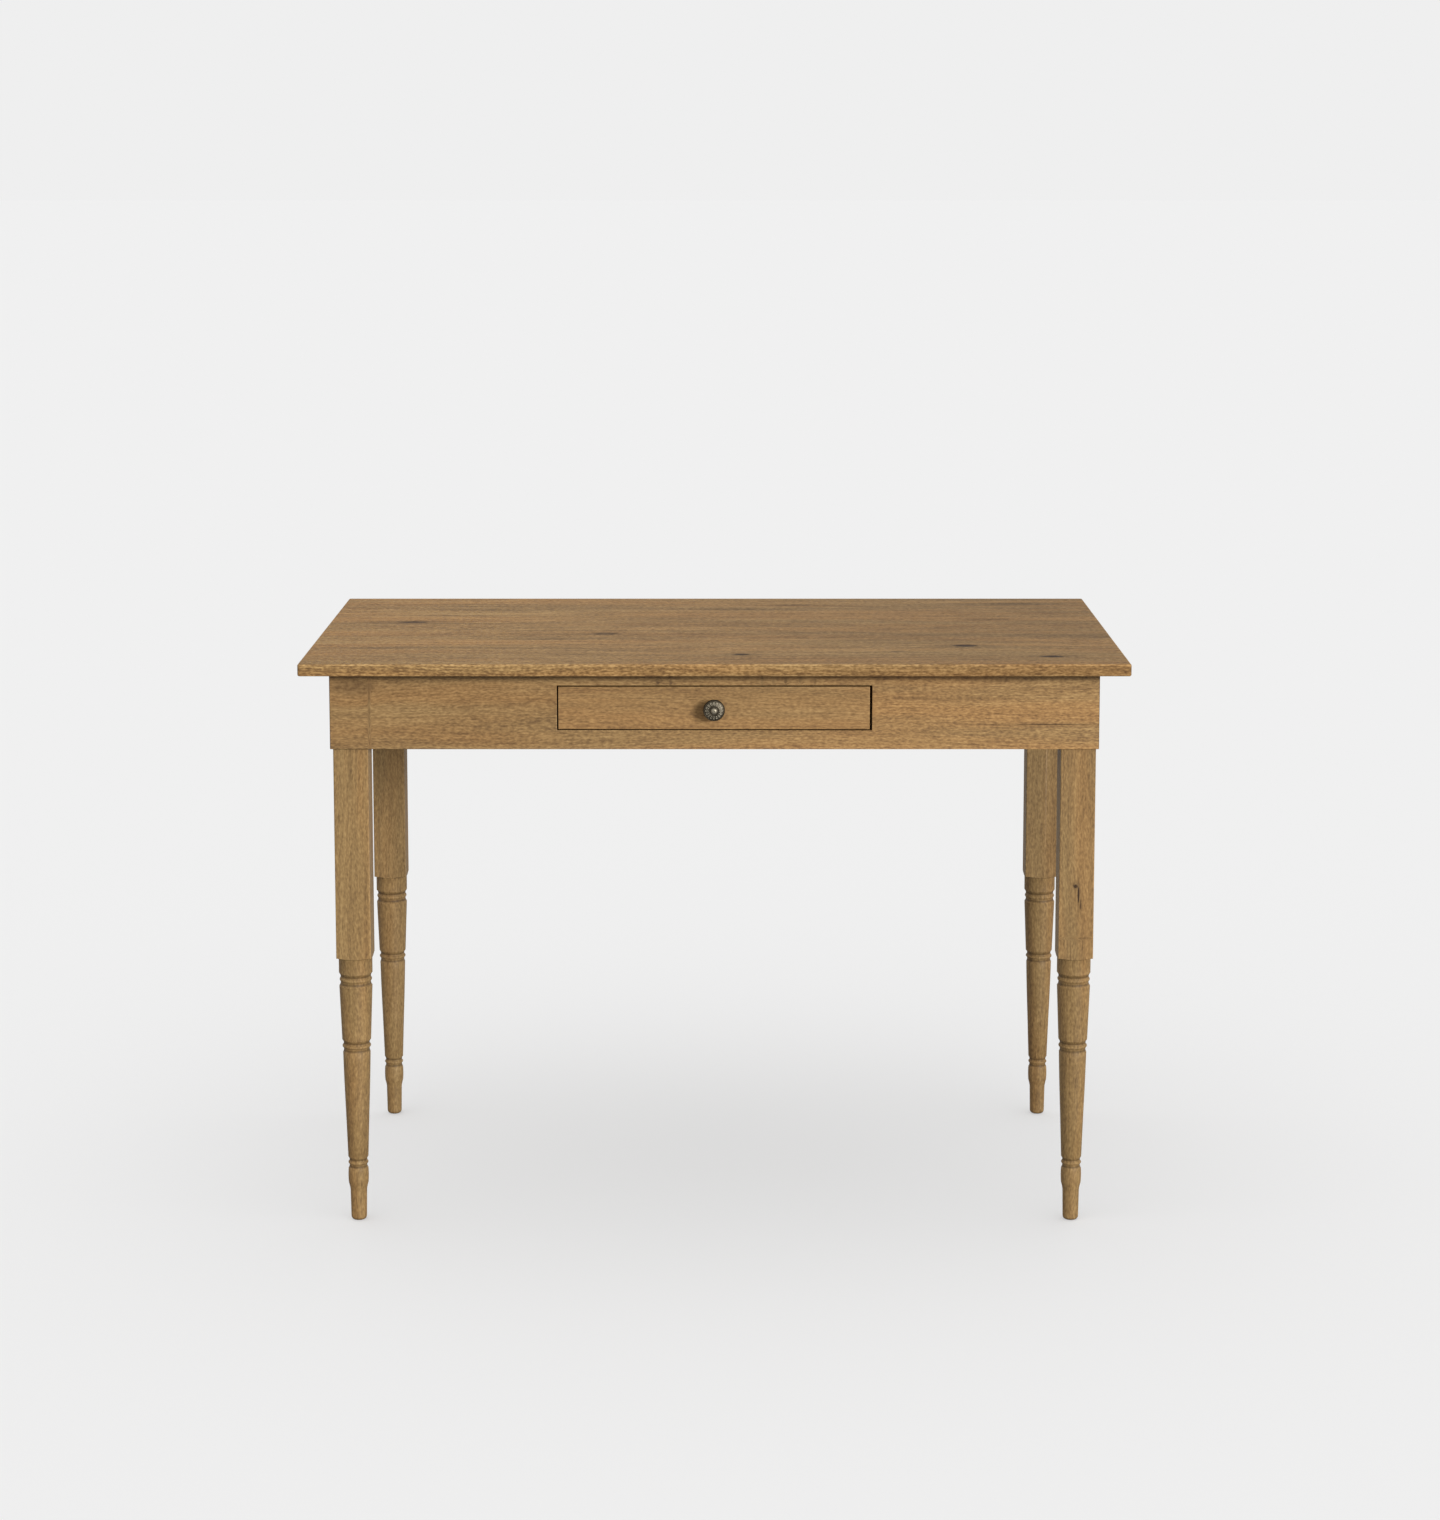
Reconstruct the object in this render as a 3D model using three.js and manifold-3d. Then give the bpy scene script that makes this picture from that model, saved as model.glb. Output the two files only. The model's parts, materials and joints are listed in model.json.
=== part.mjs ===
// A writing desk: a plain oak top, four legs that are square above and turned below, an apron
// box lapped round the legs, and one shallow drawer with a cast rosette knob.
//
// Millimetres. +Z is up, the drawer opens towards -Y, and the origin is on the floor under the
// middle of the top.

import * as THREE from 'three';
import { mergeVertices } from 'three/addons/utils/BufferGeometryUtils.js';
import Module from 'manifold-3d';

const wasm = await Module();
wasm.setup();

// ---------------------------------------------------------------- driving dimensions

const DESK_WIDTH = 1080;
const DESK_DEPTH = 600;
const DESK_HEIGHT = 762;
const TOP_THICKNESS = 16;
const TOP_EDGE_ROUND = 2;

const SIDE_OVERHANG = 37;
const FRONT_OVERHANG = 34;
const APRON_HEIGHT = 102;
const APRON_THICKNESS = 20;

const LEG_SIZE = 46; // side of the square upper leg
const LEG_INSET = 3.5; // how far a leg's faces stand back from the apron's faces
const SQUARE_BOTTOM = 361; // height of the shoulder where the square turns round
const LEG_CHAMFER = 12; // inner corner planed off the leg's post, for the corner block

const BLOCK_THICKNESS = 26;
const BLOCK_HEIGHT = 60;
const BOLT_RADIUS = 4;
const BOLT_GRIP = 25; // length of the hanger bolt inside the leg
const WASHER_RADIUS = 11;
const WASHER_THICKNESS = 2;
const NUT_ACROSS_FLATS = 13;
const NUT_THICKNESS = 6.5;

const LOWER_RAIL = 25; // apron left standing under the drawer opening
const OPENING_WIDTH = 412;
const OPENING_HEIGHT = 59.5;
const FRONT_GAP_LEFT = 1.9; // the drawer hangs a little to the left in its opening
const FRONT_GAP_RIGHT = 3.2;
const FRONT_GAP_ABOVE = 1.8;
const FRONT_GAP_BELOW = 1.7;

const DRAWER_LENGTH = 440; // from the face of the drawer front to the end of its sides
const DRAWER_FRONT_THICKNESS = 18;
const DRAWER_SIDE_HEIGHT = 52;
const DRAWER_SIDE_THICKNESS = 12;
const DRAWER_BACK_INSET = 10; // sides run this far past the drawer back
const DRAWER_BOTTOM_THICKNESS = 5;
const GROOVE_HEIGHT = 8; // lower edge of the groove above the lower edge of the side
const GROOVE_DEPTH = 5;
const HOUSING_DEPTH = 4; // how far the drawer back is let into the sides
const DOVETAIL_LENGTH = 12;
const DOVETAIL_WIDTH = 17;
const DOVETAIL_FLARE = 2;

const RUNNER_WIDTH = 30;
const RUNNER_HEIGHT = 24;
const RAIL_TENON_LENGTH = 8;
const RUNNER_TENON_HEIGHT = 14;
const KICKER_TENON_HEIGHT = 11;
const KICKER_CLEARANCE = 2; // between the drawer sides and the kickers above them
const GUIDE_WIDTH = 12;
const GUIDE_HEIGHT = 30;
const GUIDE_CLEARANCE = 1.5; // between a drawer side and its guide
const STOP_LENGTH = 20;
const STOP_HEIGHT = 16;

const KNOB_PROJECTION = 26;
const KNOB_RADIUS = 14.5;

const GAP = 0.3; // left between two pieces that touch
const HOLE_DEPTH_IN_TOP = 9;

// ---------------------------------------------------------------- sizes that follow

const UNDERSIDE = DESK_HEIGHT - TOP_THICKNESS;
const APRON_BOTTOM = UNDERSIDE - APRON_HEIGHT;
const APRON_X = DESK_WIDTH / 2 - SIDE_OVERHANG; // outer faces of the apron box
const APRON_Y = DESK_DEPTH / 2 - FRONT_OVERHANG;
const INNER_X = APRON_X - APRON_THICKNESS;
const INNER_Y = APRON_Y - APRON_THICKNESS;

const LEG_LAP = APRON_THICKNESS - LEG_INSET; // depth of the notch that takes the apron
const POST = LEG_SIZE - LEG_LAP; // what stands inside the apron box

const BLOCK_BOTTOM = UNDERSIDE - GAP - BLOCK_HEIGHT;
const BOLT_HEIGHT = BLOCK_BOTTOM + BLOCK_HEIGHT / 2;
const BLOCK_OUTER_SUM = 2 * POST - LEG_CHAMFER + GAP * Math.SQRT2; // x + y along the block's faces
const BLOCK_INNER_SUM = BLOCK_OUTER_SUM + BLOCK_THICKNESS * Math.SQRT2;

const OPENING_BOTTOM = APRON_BOTTOM + LOWER_RAIL;
const OPENING_TOP = OPENING_BOTTOM + OPENING_HEIGHT;
const DRAWER_LEFT = -OPENING_WIDTH / 2 + FRONT_GAP_LEFT;
const DRAWER_RIGHT = OPENING_WIDTH / 2 - FRONT_GAP_RIGHT;
const DRAWER_WIDTH = DRAWER_RIGHT - DRAWER_LEFT;
const DRAWER_CENTRE = (DRAWER_LEFT + DRAWER_RIGHT) / 2;
const DRAWER_BASE = OPENING_BOTTOM + FRONT_GAP_BELOW;
const DRAWER_FRONT_HEIGHT = OPENING_HEIGHT - FRONT_GAP_ABOVE - FRONT_GAP_BELOW;
const RUNNER_TOP = DRAWER_BASE - GAP;
const KICKER_BOTTOM = DRAWER_BASE + DRAWER_SIDE_HEIGHT + KICKER_CLEARANCE;
const KICKER_HEIGHT = UNDERSIDE - GAP - KICKER_BOTTOM;
const SPAN_Y = 2 * (INNER_Y - GAP); // free length between front and rear apron

// ---------------------------------------------------------------- materials

const OAK = { color: '#9c7a50', roughness: 0.68, metalness: 0 };
const OAK_TOP = { color: '#967b58', roughness: 0.62, metalness: 0 };
const OAK_PLAIN = { color: '#a98a62', roughness: 0.75, metalness: 0 };
const PLYWOOD = { color: '#b89a72', roughness: 0.75, metalness: 0 };
const OLD_BRONZE = { color: '#4a4236', roughness: 0.45, metalness: 0.85 };
const ZINC = { color: '#9a9a96', roughness: 0.4, metalness: 0.9 };

// ---------------------------------------------------------------- helpers

function solidOf(geometry) {
  const plain = geometry.clone();
  plain.deleteAttribute('normal');
  plain.deleteAttribute('uv');
  const joined = mergeVertices(plain);
  const corners = joined.index.array;
  const kept = [];
  for (let i = 0; i < corners.length; i += 3) {
    const [a, b, c] = corners.slice(i, i + 3);
    const isTriangle = a !== b && b !== c && c !== a;
    if (isTriangle) kept.push(a, b, c);
  }
  return new wasm.Manifold(new wasm.Mesh({
    numProp: 3,
    vertProperties: joined.attributes.position.array,
    triVerts: Uint32Array.from(kept),
  }));
}

function geometryOf(solid) {
  const { vertProperties, triVerts } = solid.getMesh();
  const geometry = new THREE.BufferGeometry();
  geometry.setAttribute('position', new THREE.BufferAttribute(vertProperties, 3));
  geometry.setIndex(new THREE.BufferAttribute(triVerts, 1));
  geometry.computeVertexNormals();
  return geometry;
}

function cut(geometry, tools) {
  let solid = solidOf(geometry);
  for (const tool of tools) solid = solid.subtract(solidOf(tool));
  return geometryOf(solid);
}

function box(x0, x1, y0, y1, z0, z1) {
  const geometry = new THREE.BoxGeometry(x1 - x0, y1 - y0, z1 - z0);
  return geometry.translate((x0 + x1) / 2, (y0 + y1) / 2, (z0 + z1) / 2);
}

// An outline of [x, y] points raised by height from z = 0.
function prism(points, height) {
  const shape = new THREE.Shape(points.map(([x, y]) => new THREE.Vector2(x, y)));
  return new THREE.ExtrudeGeometry(shape, { depth: height, bevelEnabled: false });
}

// An outline of [y, z] points carried along X from x0 to x1.
function prismAlongX(points, x0, x1) {
  const geometry = prism(points, x1 - x0);
  geometry.rotateX(Math.PI / 2).rotateZ(Math.PI / 2);
  return geometry.translate(x0, 0, 0);
}

// A profile of radius and height turned round +Z.
function turned(path, sides, curveSteps = 2) {
  return new THREE.LatheGeometry(path.getPoints(curveSteps), sides).rotateX(Math.PI / 2);
}

// The two ends of a range, lower one first.
function span(a, b) {
  return a < b ? [a, b] : [b, a];
}

function profile(points) {
  return new THREE.Path(points.map(([radius, height]) => new THREE.Vector2(radius, height)));
}

function rod(radius, from, to, sides = 12) {
  return turned(profile([[0, from], [radius, from], [radius, to], [0, to]]), sides);
}

// A geometry made along +Z is turned to run along the direction given.
const UP = new THREE.Vector3(0, 0, 1);
function aim(geometry, x, y, z) {
  const turn = new THREE.Quaternion().setFromUnitVectors(UP, new THREE.Vector3(x, y, z).normalize());
  return geometry.applyQuaternion(turn);
}

function add(parent, name, geometry, finish, x = 0, y = 0, z = 0) {
  const mesh = new THREE.Mesh(geometry, new THREE.MeshStandardMaterial(finish));
  mesh.name = name;
  mesh.position.set(x, y, z);
  parent.add(mesh);
  return mesh;
}

// ---------------------------------------------------------------- screws

const SCREW_HEAD_RADIUS = 4;
const SCREW_HEAD_DEPTH = 2.6;
const SCREW_RADIUS = 2;
const SCREW_TIP = 5;
const SCREW_SIDES = 10;
const COUNTERBORE_RADIUS = 5;

// A countersunk wood screw along +Z, head at z = 0. grow makes the hole that it sits in.
function screw(length, grow = 0) {
  return turned(profile([
    [0, -grow],
    [SCREW_HEAD_RADIUS + grow, -grow],
    [SCREW_HEAD_RADIUS + grow, 0.4],
    [SCREW_RADIUS + grow, SCREW_HEAD_DEPTH + grow],
    [SCREW_RADIUS + grow, length - SCREW_TIP + grow],
    [0, length + grow],
  ]), SCREW_SIDES);
}

// ---------------------------------------------------------------- the leg

const LEG_SIDES = 20;
const FOOT_ROUND = 5.5; // radius of the foot's rounded lower edge

// Heights up the turned part of the leg, and its radii there.
const SLIM_FOOT = { top: 41, low: 10.4, high: 11 };
const ANKLE = { bottom: 51, top: 71, low: 13.1, middle: 14, high: 13.2 };
const LONG_TAPER = { bend: 150, low: 13.4, bendRadius: 15.6, middle: 17.3, high: 18.2 };
const SHORT_TAPER = { low: 19.1, middle: 20.5, high: 21.9 };
const NECK_RADIUS = 22.2;

// The three sets of rings: a groove, a bead and a groove between two heights.
const LOWER_RINGS = { bottom: ANKLE.top, top: 87, bead: 13.3, groove: 1.1 };
const MIDDLE_RINGS = { bottom: 230.5, top: 248, bead: 18.9, groove: 1.3 };
const UPPER_RINGS = { bottom: 321, top: 339, bead: 21.4, groove: 0.9 };
const BEAD_START = 0.36; // where the bead lies in its rings, as a share of their height
const BEAD_END = 0.64;

// Carries the path up over a set of rings, to the radius given above them.
function turnRings(path, { bottom, top, bead, groove }, radiusAbove) {
  const beadLow = bottom + (top - bottom) * BEAD_START;
  const beadHigh = bottom + (top - bottom) * BEAD_END;
  const waist = bead - groove;
  const deepest = waist - groove / 2;
  path.quadraticCurveTo(deepest, (bottom + beadLow) / 2, waist, beadLow);
  path.quadraticCurveTo(bead + groove, (beadLow + beadHigh) / 2, waist, beadHigh);
  path.quadraticCurveTo(deepest, (beadHigh + top) / 2, radiusAbove, top);
}

function legProfile() {
  const path = new THREE.Path();
  const flat = SLIM_FOOT.low - FOOT_ROUND;
  path.moveTo(0, 0);
  path.lineTo(flat, 0);
  path.absarc(flat, FOOT_ROUND, FOOT_ROUND, -Math.PI / 2, 0);
  path.lineTo(SLIM_FOOT.high, SLIM_FOOT.top);
  path.quadraticCurveTo(SLIM_FOOT.high, (SLIM_FOOT.top + ANKLE.bottom) / 2, ANKLE.low, ANKLE.bottom);
  path.quadraticCurveTo(ANKLE.middle, (ANKLE.bottom + ANKLE.top) / 2, ANKLE.high, ANKLE.top);
  turnRings(path, LOWER_RINGS, LONG_TAPER.low);
  path.lineTo(LONG_TAPER.bendRadius, LONG_TAPER.bend);
  path.quadraticCurveTo(LONG_TAPER.middle, (LONG_TAPER.bend + MIDDLE_RINGS.bottom) / 2,
    LONG_TAPER.high, MIDDLE_RINGS.bottom);
  turnRings(path, MIDDLE_RINGS, SHORT_TAPER.low);
  path.quadraticCurveTo(SHORT_TAPER.middle, (MIDDLE_RINGS.top + UPPER_RINGS.bottom) / 2,
    SHORT_TAPER.high, UPPER_RINGS.bottom);
  turnRings(path, UPPER_RINGS, NECK_RADIUS);
  path.lineTo(NECK_RADIUS, SQUARE_BOTTOM + 1);
  path.lineTo(0, SQUARE_BOTTOM + 1);
  return path;
}

// The leg in its corner's frame: the apron box's inner corner is at x = y = 0.
function makeLeg() {
  const outer = -LEG_LAP;
  const axis = POST - LEG_SIZE / 2;
  const top = UNDERSIDE - GAP;
  const shoulder = APRON_BOTTOM - GAP;
  const beyond = POST + 1;
  const turnedPart = turned(legProfile(), LEG_SIDES).translate(axis, axis, 0);
  const squarePart = box(outer, POST, outer, POST, SQUARE_BOTTOM, top);
  const chamfer = prism([[POST - LEG_CHAMFER, beyond], [POST - LEG_CHAMFER - 1, beyond],
    [beyond, POST - LEG_CHAMFER - 1], [beyond, beyond]], APRON_HEIGHT + 1);
  const leg = solidOf(turnedPart)
    .add(solidOf(squarePart))
    .subtract(solidOf(box(outer - 1, GAP, outer - 1, beyond, shoulder, top + 1)))
    .subtract(solidOf(box(outer - 1, beyond, outer - 1, GAP, shoulder, top + 1)))
    .subtract(solidOf(chamfer.translate(0, 0, shoulder)))
    .subtract(solidOf(makeBoltHole()));
  return geometryOf(leg);
}

// ---------------------------------------------------------------- corner block and its fixings

const LEG_FACE = (2 * POST - LEG_CHAMFER) / Math.SQRT2; // along the corner's diagonal
const BLOCK_FACE = BLOCK_INNER_SUM / Math.SQRT2;
const BOLT_START = LEG_FACE - BOLT_GRIP;
const BOLT_TAIL = 5; // bolt standing out past its nut
const BOLT_END = BLOCK_FACE + WASHER_THICKNESS + NUT_THICKNESS + BOLT_TAIL;
const SIDE_SCREW_OFFSET = 65; // from the inner corner, along the apron
const SIDE_SCREW_SEAT = 15; // from the apron's inner face to the screw's head
const SIDE_SCREW_LENGTH = 28;
const TOP_SCREW_PLACE = [50, 20];
const TOP_SCREW_SEAT = 24; // from the underside of the top down to the screw's head
const TOP_SCREW_LENGTH = TOP_SCREW_SEAT + HOLE_DEPTH_IN_TOP;

function alongDiagonal(geometry) {
  return aim(geometry, 1, 1, 0).translate(0, 0, BOLT_HEIGHT);
}

function makeBoltHole() {
  return alongDiagonal(rod(BOLT_RADIUS + GAP, BOLT_START - GAP, BLOCK_FACE + 1));
}

function makeBolt() {
  const bevel = 1;
  return turned(profile([
    [0, BOLT_START], [BOLT_RADIUS - bevel, BOLT_START], [BOLT_RADIUS, BOLT_START + bevel],
    [BOLT_RADIUS, BOLT_END - bevel], [BOLT_RADIUS - bevel, BOLT_END], [0, BOLT_END],
  ]), 12);
}

function makeWasher() {
  const start = BLOCK_FACE + GAP;
  const end = start + WASHER_THICKNESS;
  const bore = BOLT_RADIUS + GAP;
  return turned(profile([[bore, start], [WASHER_RADIUS, start], [WASHER_RADIUS, end],
    [bore, end], [bore, start]]), 20);
}

function makeNut() {
  const start = BLOCK_FACE + WASHER_THICKNESS + 2 * GAP;
  const cornerRadius = NUT_ACROSS_FLATS / Math.sqrt(3);
  const shape = new THREE.Shape();
  for (let corner = 0; corner < 6; corner += 1) {
    const angle = corner * Math.PI / 3;
    const point = [cornerRadius * Math.cos(angle), cornerRadius * Math.sin(angle)];
    if (corner === 0) shape.moveTo(...point);
    else shape.lineTo(...point);
  }
  shape.holes.push(new THREE.Path().absarc(0, 0, BOLT_RADIUS + GAP, 0, 2 * Math.PI, true));
  const settings = { depth: NUT_THICKNESS, bevelEnabled: false, curveSegments: 6 };
  return new THREE.ExtrudeGeometry(shape, settings).translate(0, 0, start);
}

// The two screws into the aprons and the one into the top, as [name, place, direction, length].
const BLOCK_SCREWS = [
  ['side_screw', [SIDE_SCREW_SEAT, SIDE_SCREW_OFFSET, BOLT_HEIGHT], [-1, 0, 0], SIDE_SCREW_LENGTH],
  ['rail_screw', [SIDE_SCREW_OFFSET, SIDE_SCREW_SEAT, BOLT_HEIGHT], [0, -1, 0], SIDE_SCREW_LENGTH],
  ['top_screw', [...TOP_SCREW_PLACE, UNDERSIDE - TOP_SCREW_SEAT], [0, 0, 1], TOP_SCREW_LENGTH],
];

function makeCornerBlock() {
  const near = BLOCK_OUTER_SUM - GAP;
  const far = BLOCK_INNER_SUM - GAP;
  const outline = [[GAP, near], [near, GAP], [far, GAP], [GAP, far]];
  const block = prism(outline, BLOCK_HEIGHT).translate(0, 0, BLOCK_BOTTOM);
  const tools = [makeBoltHole()];
  for (const [, place, direction, length] of BLOCK_SCREWS) {
    tools.push(aim(screw(length, GAP), ...direction).translate(...place));
    tools.push(aim(rod(COUNTERBORE_RADIUS, -BLOCK_INNER_SUM, 0), ...direction).translate(...place));
  }
  return cut(block, tools);
}

// The four corners. Each is the same group, turned in quarter turns.
const CORNERS = [
  { name: 'front_left', x: -INNER_X, y: -INNER_Y, quarter: 0 },
  { name: 'front_right', x: INNER_X, y: -INNER_Y, quarter: 1 },
  { name: 'rear_right', x: INNER_X, y: INNER_Y, quarter: 2 },
  { name: 'rear_left', x: -INNER_X, y: INNER_Y, quarter: 3 },
];

function makeCorner({ name, x, y, quarter }) {
  const corner = new THREE.Group();
  corner.position.set(x, y, 0);
  corner.rotation.z = quarter * Math.PI / 2;
  add(corner, `${name}_leg`, makeLeg(), OAK);
  add(corner, `${name}_corner_block`, makeCornerBlock(), OAK_PLAIN);
  add(corner, `${name}_leg_bolt`, alongDiagonal(makeBolt()), ZINC);
  add(corner, `${name}_leg_washer`, alongDiagonal(makeWasher()), ZINC);
  add(corner, `${name}_leg_nut`, alongDiagonal(makeNut()), ZINC);
  for (const [kind, place, direction, length] of BLOCK_SCREWS) {
    add(corner, `${name}_${kind}`, aim(screw(length), ...direction), ZINC, ...place);
  }
  return corner;
}

// Where a point of a corner's frame lies on the desk.
function onDesk({ x, y, quarter }, [cornerX, cornerY]) {
  const turn = quarter * Math.PI / 2;
  const point = new THREE.Vector2(cornerX, cornerY).rotateAround(new THREE.Vector2(), turn);
  return [x + point.x, y + point.y];
}

// ---------------------------------------------------------------- runners, kickers, guides, stops

// Each side of the drawer: the face of its side board that a guide runs along, and the way out.
const DRAWER_SIDES = [
  { name: 'left', face: DRAWER_LEFT, outward: -1 },
  { name: 'right', face: DRAWER_RIGHT, outward: 1 },
];
const KICKER_SCREW_Y = 170;
const KICKER_SCREW_RECESS = 4;
const KICKER_SCREW_LENGTH = KICKER_HEIGHT - KICKER_SCREW_RECESS + HOLE_DEPTH_IN_TOP;

// The X range of a rail that reaches from under the drawer side out past the guide.
function railRange({ face, outward }) {
  const outer = face + outward * (GUIDE_CLEARANCE + GUIDE_WIDTH);
  return span(outer, outer - outward * RUNNER_WIDTH);
}

function railCentre(side) {
  const [x0, x1] = railRange(side);
  return (x0 + x1) / 2;
}

// A rail between the front and rear apron with a stub tenon at each end, seen from the side.
function railOutline(bottom, height, tenonBottom, tenonHeight) {
  const half = SPAN_Y / 2;
  const end = half + RAIL_TENON_LENGTH;
  const top = bottom + height;
  const tenonTop = tenonBottom + tenonHeight;
  return [[-half, bottom], [half, bottom], [half, tenonBottom], [end, tenonBottom],
    [end, tenonTop], [half, tenonTop], [half, top], [-half, top], [-half, tenonTop],
    [-end, tenonTop], [-end, tenonBottom], [-half, tenonBottom]];
}

const RUNNER_BOTTOM = RUNNER_TOP - RUNNER_HEIGHT;
const RUNNER_TENON_BOTTOM = APRON_BOTTOM + (LOWER_RAIL - RUNNER_TENON_HEIGHT) / 2;
const KICKER_TENON_BOTTOM = (OPENING_TOP + UNDERSIDE - KICKER_TENON_HEIGHT) / 2;

function makeRunner(side) {
  const outline = railOutline(RUNNER_BOTTOM, RUNNER_HEIGHT, RUNNER_TENON_BOTTOM, RUNNER_TENON_HEIGHT);
  return prismAlongX(outline, ...railRange(side));
}

function makeKicker(side) {
  const outline = railOutline(KICKER_BOTTOM, KICKER_HEIGHT, KICKER_TENON_BOTTOM, KICKER_TENON_HEIGHT);
  const kicker = prismAlongX(outline, ...railRange(side));
  const seat = KICKER_BOTTOM + KICKER_SCREW_RECESS;
  const tools = [];
  for (const y of [-KICKER_SCREW_Y, KICKER_SCREW_Y]) {
    tools.push(screw(KICKER_SCREW_LENGTH, GAP).translate(railCentre(side), y, seat));
    tools.push(rod(COUNTERBORE_RADIUS, KICKER_BOTTOM - 1, seat).translate(railCentre(side), y, 0));
  }
  return cut(kicker, tools);
}

function makeRails() {
  const rails = new THREE.Group();
  const stopStart = DRAWER_LENGTH - APRON_Y + GAP;
  for (const side of DRAWER_SIDES) {
    add(rails, `${side.name}_runner`, makeRunner(side), OAK_PLAIN);
    add(rails, `${side.name}_kicker`, makeKicker(side), OAK_PLAIN);
    const guideFace = side.face + side.outward * GUIDE_CLEARANCE;
    const guide = new THREE.BoxGeometry(GUIDE_WIDTH, SPAN_Y, GUIDE_HEIGHT);
    add(rails, `${side.name}_guide`, guide, OAK_PLAIN,
      guideFace + side.outward * GUIDE_WIDTH / 2, 0, RUNNER_TOP + GAP + GUIDE_HEIGHT / 2);
    const stop = new THREE.BoxGeometry(DRAWER_SIDE_THICKNESS, STOP_LENGTH, STOP_HEIGHT);
    add(rails, `${side.name}_drawer_stop`, stop, OAK_PLAIN,
      side.face - side.outward * DRAWER_SIDE_THICKNESS / 2, stopStart + STOP_LENGTH / 2,
      RUNNER_TOP + GAP + STOP_HEIGHT / 2);
    for (const [place, y] of [['front', -KICKER_SCREW_Y], ['rear', KICKER_SCREW_Y]]) {
      add(rails, `${side.name}_kicker_screw_${place}`, screw(KICKER_SCREW_LENGTH), ZINC,
        railCentre(side), y, KICKER_BOTTOM + KICKER_SCREW_RECESS);
    }
  }
  return rails;
}

// ---------------------------------------------------------------- aprons

// A mitred board standing on its edge, its outer face on y = -outerY, seen from above.
function apronBoard(outerX, outerY) {
  const mitre = GAP / Math.SQRT2;
  const innerX = outerX - APRON_THICKNESS;
  const outline = [[-outerX + mitre, -outerY], [outerX - mitre, -outerY],
    [innerX - mitre, -outerY + APRON_THICKNESS], [-innerX + mitre, -outerY + APRON_THICKNESS]];
  return prism(outline, APRON_HEIGHT - GAP).translate(0, 0, APRON_BOTTOM);
}

// The holes for the corner blocks' screws, one near each end of a board on the -Y side.
function blockScrewHoles(innerX, innerY) {
  return [-1, 1].map((end) => aim(screw(SIDE_SCREW_LENGTH, GAP), 0, -1, 0)
    .translate(end * (innerX - SIDE_SCREW_OFFSET), -innerY + SIDE_SCREW_SEAT, BOLT_HEIGHT));
}

// The mortises for the runners and kickers. flip is 1 for the front board and -1 for the rear,
// which is made facing the front and then turned half round.
function railMortises(flip) {
  const y0 = -INNER_Y - RAIL_TENON_LENGTH - GAP;
  const y1 = -INNER_Y + 1;
  const tools = [];
  for (const side of DRAWER_SIDES) {
    const [x0, x1] = span(...railRange(side).map((x) => x * flip));
    for (const [bottom, height] of [[RUNNER_TENON_BOTTOM, RUNNER_TENON_HEIGHT],
      [KICKER_TENON_BOTTOM, KICKER_TENON_HEIGHT]]) {
      tools.push(box(x0 - GAP, x1 + GAP, y0, y1, bottom - GAP, bottom + height + GAP));
    }
  }
  return tools;
}

function makeAprons() {
  const aprons = new THREE.Group();
  const halfOpening = OPENING_WIDTH / 2;
  const opening = box(-halfOpening, halfOpening, -APRON_Y - 1, -INNER_Y + 1, OPENING_BOTTOM, OPENING_TOP);
  const longBoard = apronBoard(APRON_X, APRON_Y);
  const shortBoard = apronBoard(APRON_Y, APRON_X);
  const longScrewHoles = blockScrewHoles(INNER_X, INNER_Y);
  const shortScrewHoles = blockScrewHoles(INNER_Y, INNER_X);
  add(aprons, 'front_apron', cut(longBoard, [opening, ...longScrewHoles, ...railMortises(1)]), OAK);
  const rear = add(aprons, 'rear_apron', cut(longBoard, [...longScrewHoles, ...railMortises(-1)]), OAK);
  rear.rotation.z = Math.PI;
  const left = add(aprons, 'left_apron', cut(shortBoard, shortScrewHoles), OAK);
  left.rotation.z = -Math.PI / 2;
  const right = add(aprons, 'right_apron', cut(shortBoard, shortScrewHoles), OAK);
  right.rotation.z = Math.PI / 2;
  return aprons;
}

// ---------------------------------------------------------------- the top

function makeTop() {
  const halfX = DESK_WIDTH / 2 - TOP_EDGE_ROUND;
  const halfY = DESK_DEPTH / 2 - TOP_EDGE_ROUND;
  const shape = new THREE.Shape([
    new THREE.Vector2(-halfX, -halfY), new THREE.Vector2(halfX, -halfY),
    new THREE.Vector2(halfX, halfY), new THREE.Vector2(-halfX, halfY),
  ]);
  const board = new THREE.ExtrudeGeometry(shape, {
    depth: TOP_THICKNESS - 2 * TOP_EDGE_ROUND,
    bevelThickness: TOP_EDGE_ROUND,
    bevelSize: TOP_EDGE_ROUND,
    bevelSegments: 2,
  }).translate(0, 0, UNDERSIDE + TOP_EDGE_ROUND);
  const screwTip = UNDERSIDE + HOLE_DEPTH_IN_TOP;
  const places = CORNERS.map((corner) => onDesk(corner, TOP_SCREW_PLACE));
  for (const side of DRAWER_SIDES) {
    for (const y of [-KICKER_SCREW_Y, KICKER_SCREW_Y]) places.push([railCentre(side), y]);
  }
  const holes = places.map(([x, y]) => screw(TOP_SCREW_LENGTH, GAP)
    .translate(x, y, screwTip - TOP_SCREW_LENGTH));
  return cut(board, holes);
}

// ---------------------------------------------------------------- the drawer

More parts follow.
